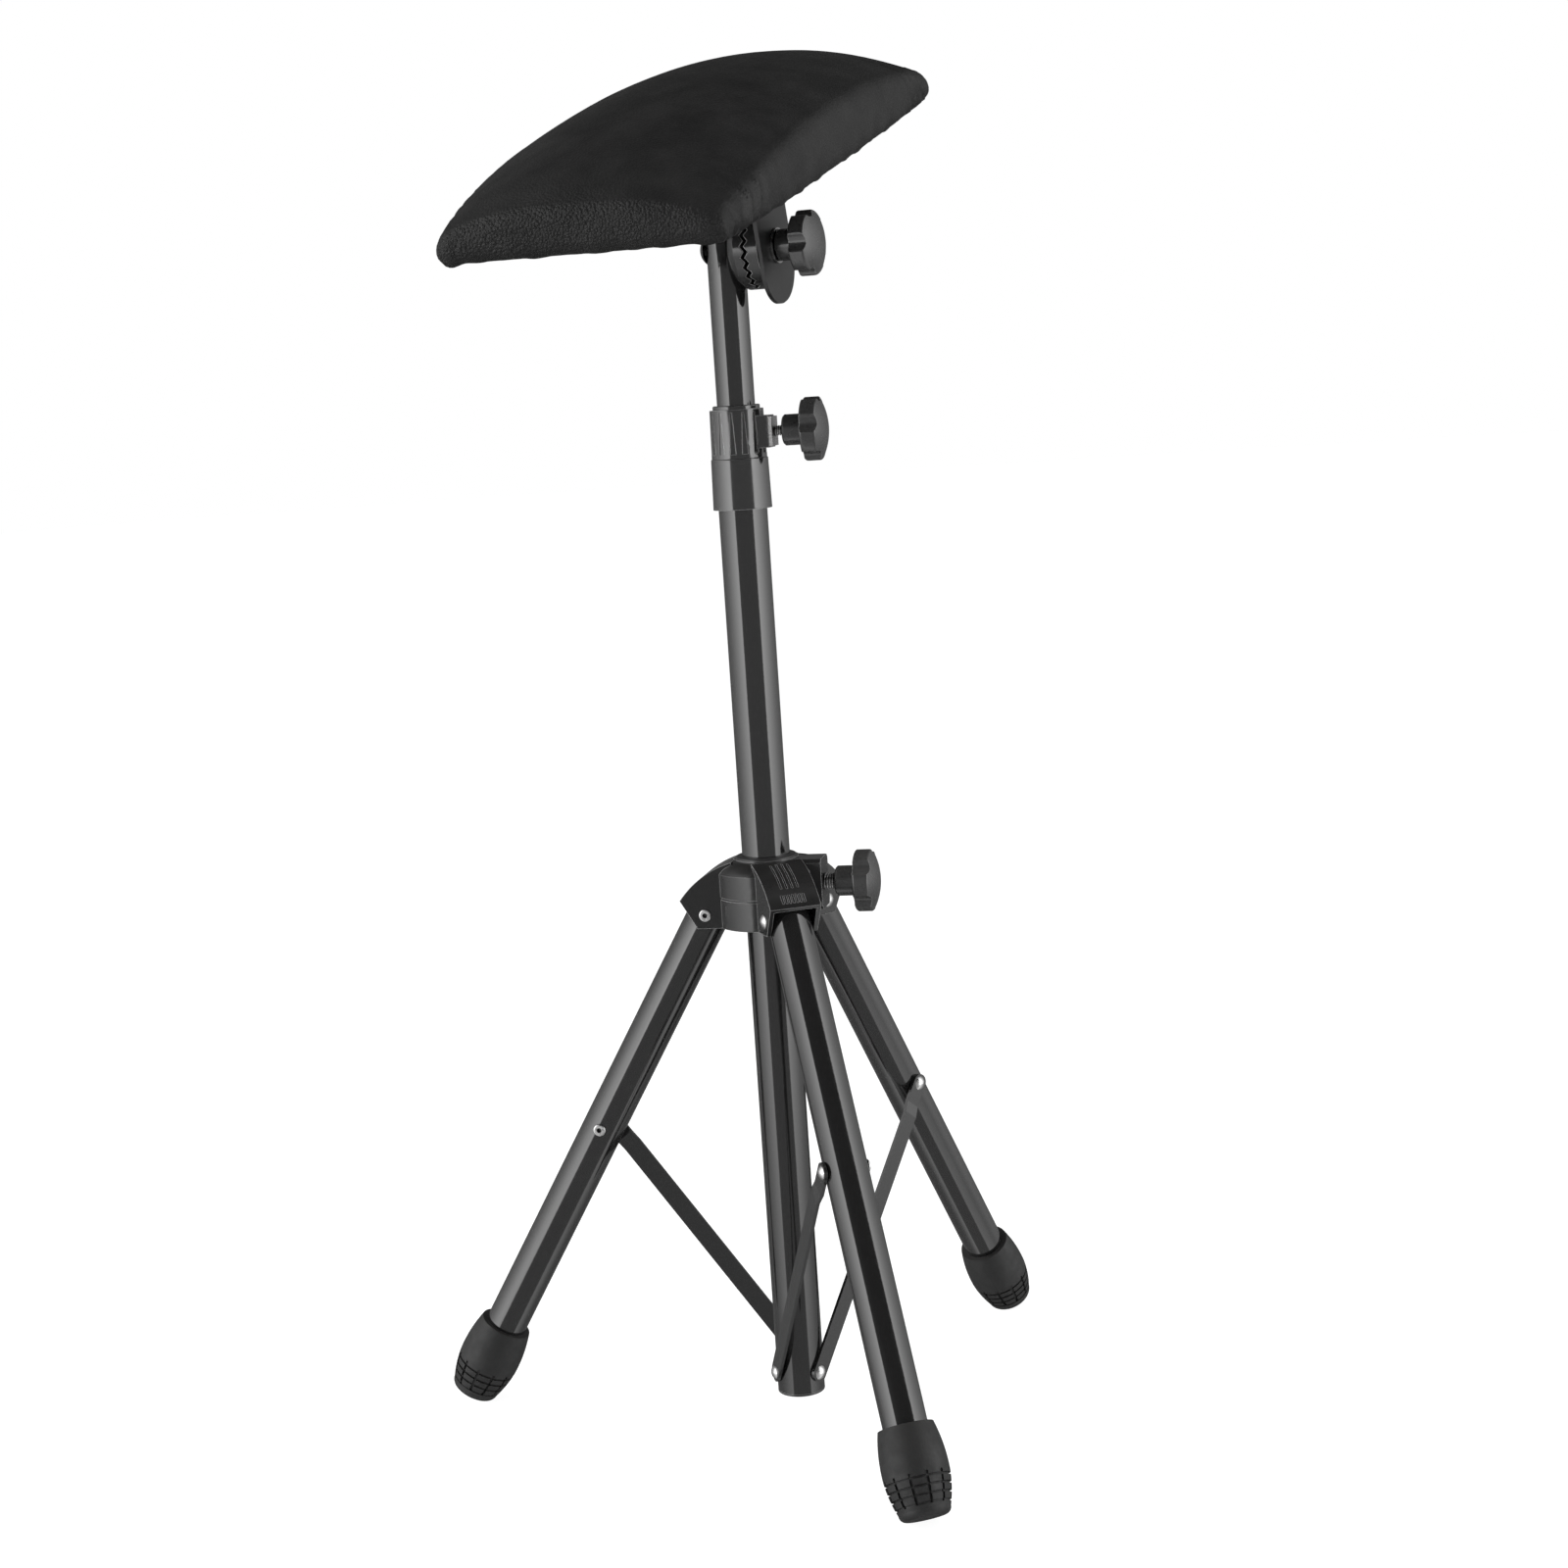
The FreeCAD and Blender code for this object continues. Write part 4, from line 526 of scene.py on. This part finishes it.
def pad_details(mesh):
    """Folds at the corners and along the hem, a sagging edge, and the window below."""
    edge_x = PAD_WIDTH / 2 - DRAW_IN
    edge_y = PAD_LENGTH / 2 - DRAW_IN
    window_x = PAD_WIDTH / 2 - BOARD_INSET - HEM - WINDOW_GAP_X
    window_y = PAD_LENGTH / 2 - BOARD_INSET - HEM - WINDOW_GAP_Y
    points, normals = points_and_normals(mesh)
    for i, (co, normal) in enumerate(zip(points, normals)):
        x, y, z = co
        out_x = abs(x) / edge_x
        out_y = abs(y) / edge_y
        rim = max(0.0, 1 - z / HEM_HEIGHT)
        corner = max(0.0, min(out_x, out_y) - 0.8) / 0.2
        if normal[2] > -0.7:
            run = y if out_x > out_y else x
            pull = 0.5 - 0.5 * math.cos(2 * math.pi * run / STAPLE_PITCH)
            wave = noise.noise(Vector((run / 17.0, z / 30.0, 3.1 * math.copysign(1, x))))
            push = rim * (0.7 * pull - 0.5 + 1.0 * wave)
            if out_x > out_y:
                near = max(0.0, 1 - abs(abs(y) - edge_y * FOLD_PLACE) / FOLD_SPREAD)
                low = max(0.0, 1 - z / FOLD_HEIGHT)
                turn = math.pi * (abs(y) + 0.25 * z) / FOLD_PITCH + 0.8 * wave
                fold = 1 - 2 * abs(math.sin(turn))
                depth = FOLD_DEPTH if x > 0 else LESSER_FOLD_DEPTH
                push += depth * near * math.sqrt(low) * fold * (0.8 + 0.6 * wave)
            turn = math.atan2(abs(x) - edge_x + 16, abs(y) - edge_y + 16)
            push += 1.3 * corner * rim * math.sin(turn * 12)
            broad = noise.noise(Vector((x / 55.0, y / 55.0, z / 55.0 + 7.0)))
            push += 0.5 * broad * min(1.0, z / 20.0)
            points[i] += push * normal
        elif abs(x) < window_x and abs(y) < window_y:
            points[i][2] = WINDOW_HEIGHT
        else:
            crease = noise.noise(Vector((x / 6.0, y / 6.0, 0.4)))
            sag = noise.noise(Vector((x / 14.0, y / 14.0, 2.2)))
            outer = min(1.0, max(0.0, max(out_x, out_y) - 0.9) / 0.1)
            sunk = SAG * outer * max(0.0, sag + 0.1)
            points[i][2] += 0.25 * crease - 0.15 - sunk - CORNER_SAG * corner
    points[:, 2] = np.maximum(points[:, 2], LOWEST)
    set_points(mesh, points)


def add_cushion():
    verts, faces = pad_form()
    form = closed_mesh(verts, faces)
    skin = surface_tree(form)
    start = closed_mesh([v / 1000 for v in verts], faces)
    points, normals = points_and_normals(start)
    set_points(start, points - SHRINK * normals)
    piece = bpy.data.objects.new("cushion_cover", start)
    bpy.context.scene.collection.objects.link(piece)
    remesh = piece.modifiers.new("Remesh", "REMESH")
    remesh.mode = "VOXEL"
    remesh.voxel_size = VOXEL
    applied(piece)
    inflate(piece, SWELL_CAP)
    settle(piece.data, skin, FIRST_SETTLE)
    soften_shoulders(piece)
    finer = piece.modifiers.new("Subdivision", "SUBSURF")
    finer.levels = 1
    finer.render_levels = 1
    applied(piece)
    settle(piece.data, skin, LAST_SETTLE)
    piece.vertex_groups.clear()
    pad_details(piece.data)
    piece.data.transform(pad_matrix() @ Matrix.Scale(1000, 4))
    for face in piece.data.polygons:
        face.use_smooth = True
    piece.data.materials.clear()
    piece.data.materials.append(LOOKS["pad_leather"])
    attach(piece, "cushion")
    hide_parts("pad_cover", "pad_foam")


# Threads of the clamp screws

THREAD_AROUND = 40
THREAD_ROWS = 12
THREAD_GAP = 0.02 / 1000


def add_thread(node, body, pitch, depth):
    """A threaded screw in the place of a plain one, its axis along X."""
    low, high = (Vector(corner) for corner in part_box(node))
    centre = (low + high) / 2
    outer = (high.y - low.y) / 2
    root = outer - depth
    length = high.x - low.x
    around = THREAD_AROUND
    rows = int(length / pitch * THREAD_ROWS)
    verts, faces = [], []
    for row in range(rows + 1):
        x = low.x + length * row / rows
        for step in range(around):
            angle = 2 * math.pi * step / around
            phase = ((x - low.x) / pitch + step / around) % 1.0
            crest = max(0.0, min(1.0, 1.6 - 3.6 * abs(phase - 0.5)))
            ends = min(1.0, (x - low.x) / pitch, (high.x - x) / pitch)
            radius = root + (outer - root) * crest * ends - THREAD_GAP
            across, up = radius * math.cos(angle), radius * math.sin(angle)
            verts.append((x, centre.y + across, centre.z + up))
    for row in range(rows):
        for step in range(around):
            a = row * around + step
            b = row * around + (step + 1) % around
            faces.append((a, b, b + around, a + around))
    faces.append(tuple(reversed(range(around))))
    faces.append(tuple(rows * around + step for step in range(around)))
    mesh = bpy.data.meshes.new(node + "_threaded")
    mesh.from_pydata(verts, [], faces)
    for face in mesh.polygons:
        face.use_smooth = len(face.vertices) == 4
    piece = add_piece(node + "_threaded", mesh, "bright_steel", body)
    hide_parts(node)


# Studio: strengths of the world, the cosines and heights that bound its panels, and the floor

SOFT_STRENGTH = 0.36
FRONT_STRENGTH = 0.4
PANEL_STRENGTH = 3.9
PANEL_FADING = 1.7
PANEL_EDGE = (0.70, 0.75)
PANEL_TOP = (0.6, 0.9)
PANEL_FOOT = (-0.42, -0.02)
PANEL_SPREAD = 0.3
DARK_TURN = 16.0
FLOOR_RADIUS = 14.0
FLOOR_GLOW = 1.3
FLOOR_GLOW_SHARE = 0.72


def add_light(name, place, aim, width, height, watts):
    lamp = bpy.data.objects.new(name, bpy.data.lights.new(name, "AREA"))
    lamp.data.shape = "RECTANGLE"
    lamp.data.size = width
    lamp.data.size_y = height
    lamp.data.energy = watts
    lamp.visible_glossy = False
    lamp.location = place
    lamp.rotation_euler = (Vector(aim) - Vector(place)).to_track_quat("-Z", "Y").to_euler()
    bpy.context.scene.collection.objects.link(lamp)


def add_world():
    """White to the eye, soft for the shading, bright panels round a dark front for the gloss."""
    world = bpy.data.worlds.new("studio")
    bpy.context.scene.world = world
    world.use_nodes = True
    tree = world.node_tree

    def node(kind, inputs, **settings):
        made = tree.nodes.new("ShaderNode" + kind)
        for key, value in settings.items():
            setattr(made, key, value)
        for key, value in inputs.items():
            if isinstance(value, bpy.types.NodeSocket):
                tree.links.new(value, made.inputs[key])
            else:
                made.inputs[key].default_value = value
        return made

    def maths(operation, first, second):
        return node("Math", {0: first, 1: second}, operation=operation).outputs[0]

    def ramp(value, start, end, low, high):
        inputs = {"Value": value, "From Min": start, "From Max": end, "To Min": low, "To Max": high}
        return node("MapRange", inputs, interpolation_type="SMOOTHSTEP").outputs["Result"]

    way = node("TexCoord", {}).outputs["Generated"]
    rise = node("SeparateXYZ", {0: way}).outputs["Z"]
    flat = node("VectorMath", {0: way, 1: (1.0, 1.0, 0.0)}, operation="MULTIPLY").outputs[0]
    level = node("VectorMath", {0: flat}, operation="NORMALIZE").outputs[0]
    turn = math.radians(DARK_TURN)
    ahead = (math.sin(turn), -math.cos(turn), 0.0)
    facing = node("VectorMath", {0: level, 1: ahead}, operation="DOT_PRODUCT").outputs["Value"]
    height = maths("MULTIPLY", ramp(rise, *PANEL_TOP, 1.0, 0.1), ramp(rise, *PANEL_FOOT, 0.25, 1.0))
    ahead_share = maths("MULTIPLY", maths("ADD", facing, 1.0), 1 / (1 + PANEL_EDGE[0]))
    fading = maths("MULTIPLY", maths("POWER", ahead_share, PANEL_FADING), PANEL_STRENGTH)
    lifted = maths("ADD", facing, maths("MULTIPLY", maths("MAXIMUM", rise, 0.0), PANEL_SPREAD))
    beside = ramp(lifted, *PANEL_EDGE, 1.0, 0.0)
    panels = maths("MULTIPLY", fading, maths("MULTIPLY", beside, height))
    low_front = ramp(rise, 0.1, 0.6, FRONT_STRENGTH, 0.05)
    front = maths("MULTIPLY", low_front, ramp(facing, -0.3, 0.6, 0.35, 1.0))
    gloss = maths("ADD", panels, front)
    path = node("LightPath", {}).outputs
    seen = maths("MAXIMUM", path["Is Camera Ray"], path["Is Transmission Ray"])
    shading = node("Mix", {0: path["Is Glossy Ray"], 2: SOFT_STRENGTH, 3: gloss}, data_type="FLOAT")
    strength = node("Mix", {0: seen, 2: shading.outputs[0], 3: 1.0}, data_type="FLOAT")
    tree.links.new(strength.outputs[0], tree.nodes["Background"].inputs["Strength"])
    tree.nodes["Background"].inputs["Color"].default_value = (1, 1, 1, 1)


def add_floor():
    mesh = bpy.data.meshes.new("floor")
    edit = bmesh.new()
    bmesh.ops.create_circle(edit, cap_ends=True, segments=96, radius=FLOOR_RADIUS)
    edit.to_mesh(mesh)
    edit.free()
    floor = bpy.data.objects.new("floor", mesh)
    bpy.context.scene.collection.objects.link(floor)
    material = bpy.data.materials.new("floor_look")
    material.use_nodes = True
    tree = material.node_tree
    shader = tree.nodes["Principled BSDF"]
    shader.inputs["Base Color"].default_value = (0.86, 0.86, 0.86, 1)
    shader.inputs["Roughness"].default_value = 0.9
    glow = tree.nodes.new("ShaderNodeEmission")
    glow.inputs["Strength"].default_value = FLOOR_GLOW
    path = tree.nodes.new("ShaderNodeLightPath")
    share = tree.nodes.new("ShaderNodeMath")
    share.operation = "MULTIPLY"
    share.inputs[1].default_value = FLOOR_GLOW_SHARE
    tree.links.new(path.outputs["Is Camera Ray"], share.inputs[0])
    mix = tree.nodes.new("ShaderNodeMixShader")
    tree.links.new(share.outputs[0], mix.inputs["Fac"])
    tree.links.new(shader.outputs[0], mix.inputs[1])
    tree.links.new(glow.outputs[0], mix.inputs[2])
    tree.links.new(mix.outputs[0], tree.nodes["Material Output"].inputs["Surface"])
    mesh.materials.append(material)
    floor.visible_glossy = False


add_camera()
dress_frame()
add_cushion()
add_thread("collar_screw", "collar_clamp", 0.0013, 0.0006)
add_thread("hub_screw", "hub_clamp", 0.0016, 0.0008)
add_world()
add_floor()
add_light("key", (-1.5, -1.5, 2.2), (0.05, 0, 0.5), 0.9, 1.6, 26)
add_light("overhead", (0.1, 0.1, 2.8), (0.05, 0, 0.5), 1.8, 1.8, 22)
add_light("strip_left", (-1.9, -0.1, 0.75), (0.05, -0.1, 0.6), 0.5, 1.8, 60)
add_light("strip_right", (1.7, -0.6, 0.9), (0.05, 0, 0.45), 0.3, 1.8, 13)
bpy.context.scene.view_settings.view_transform = "Standard"
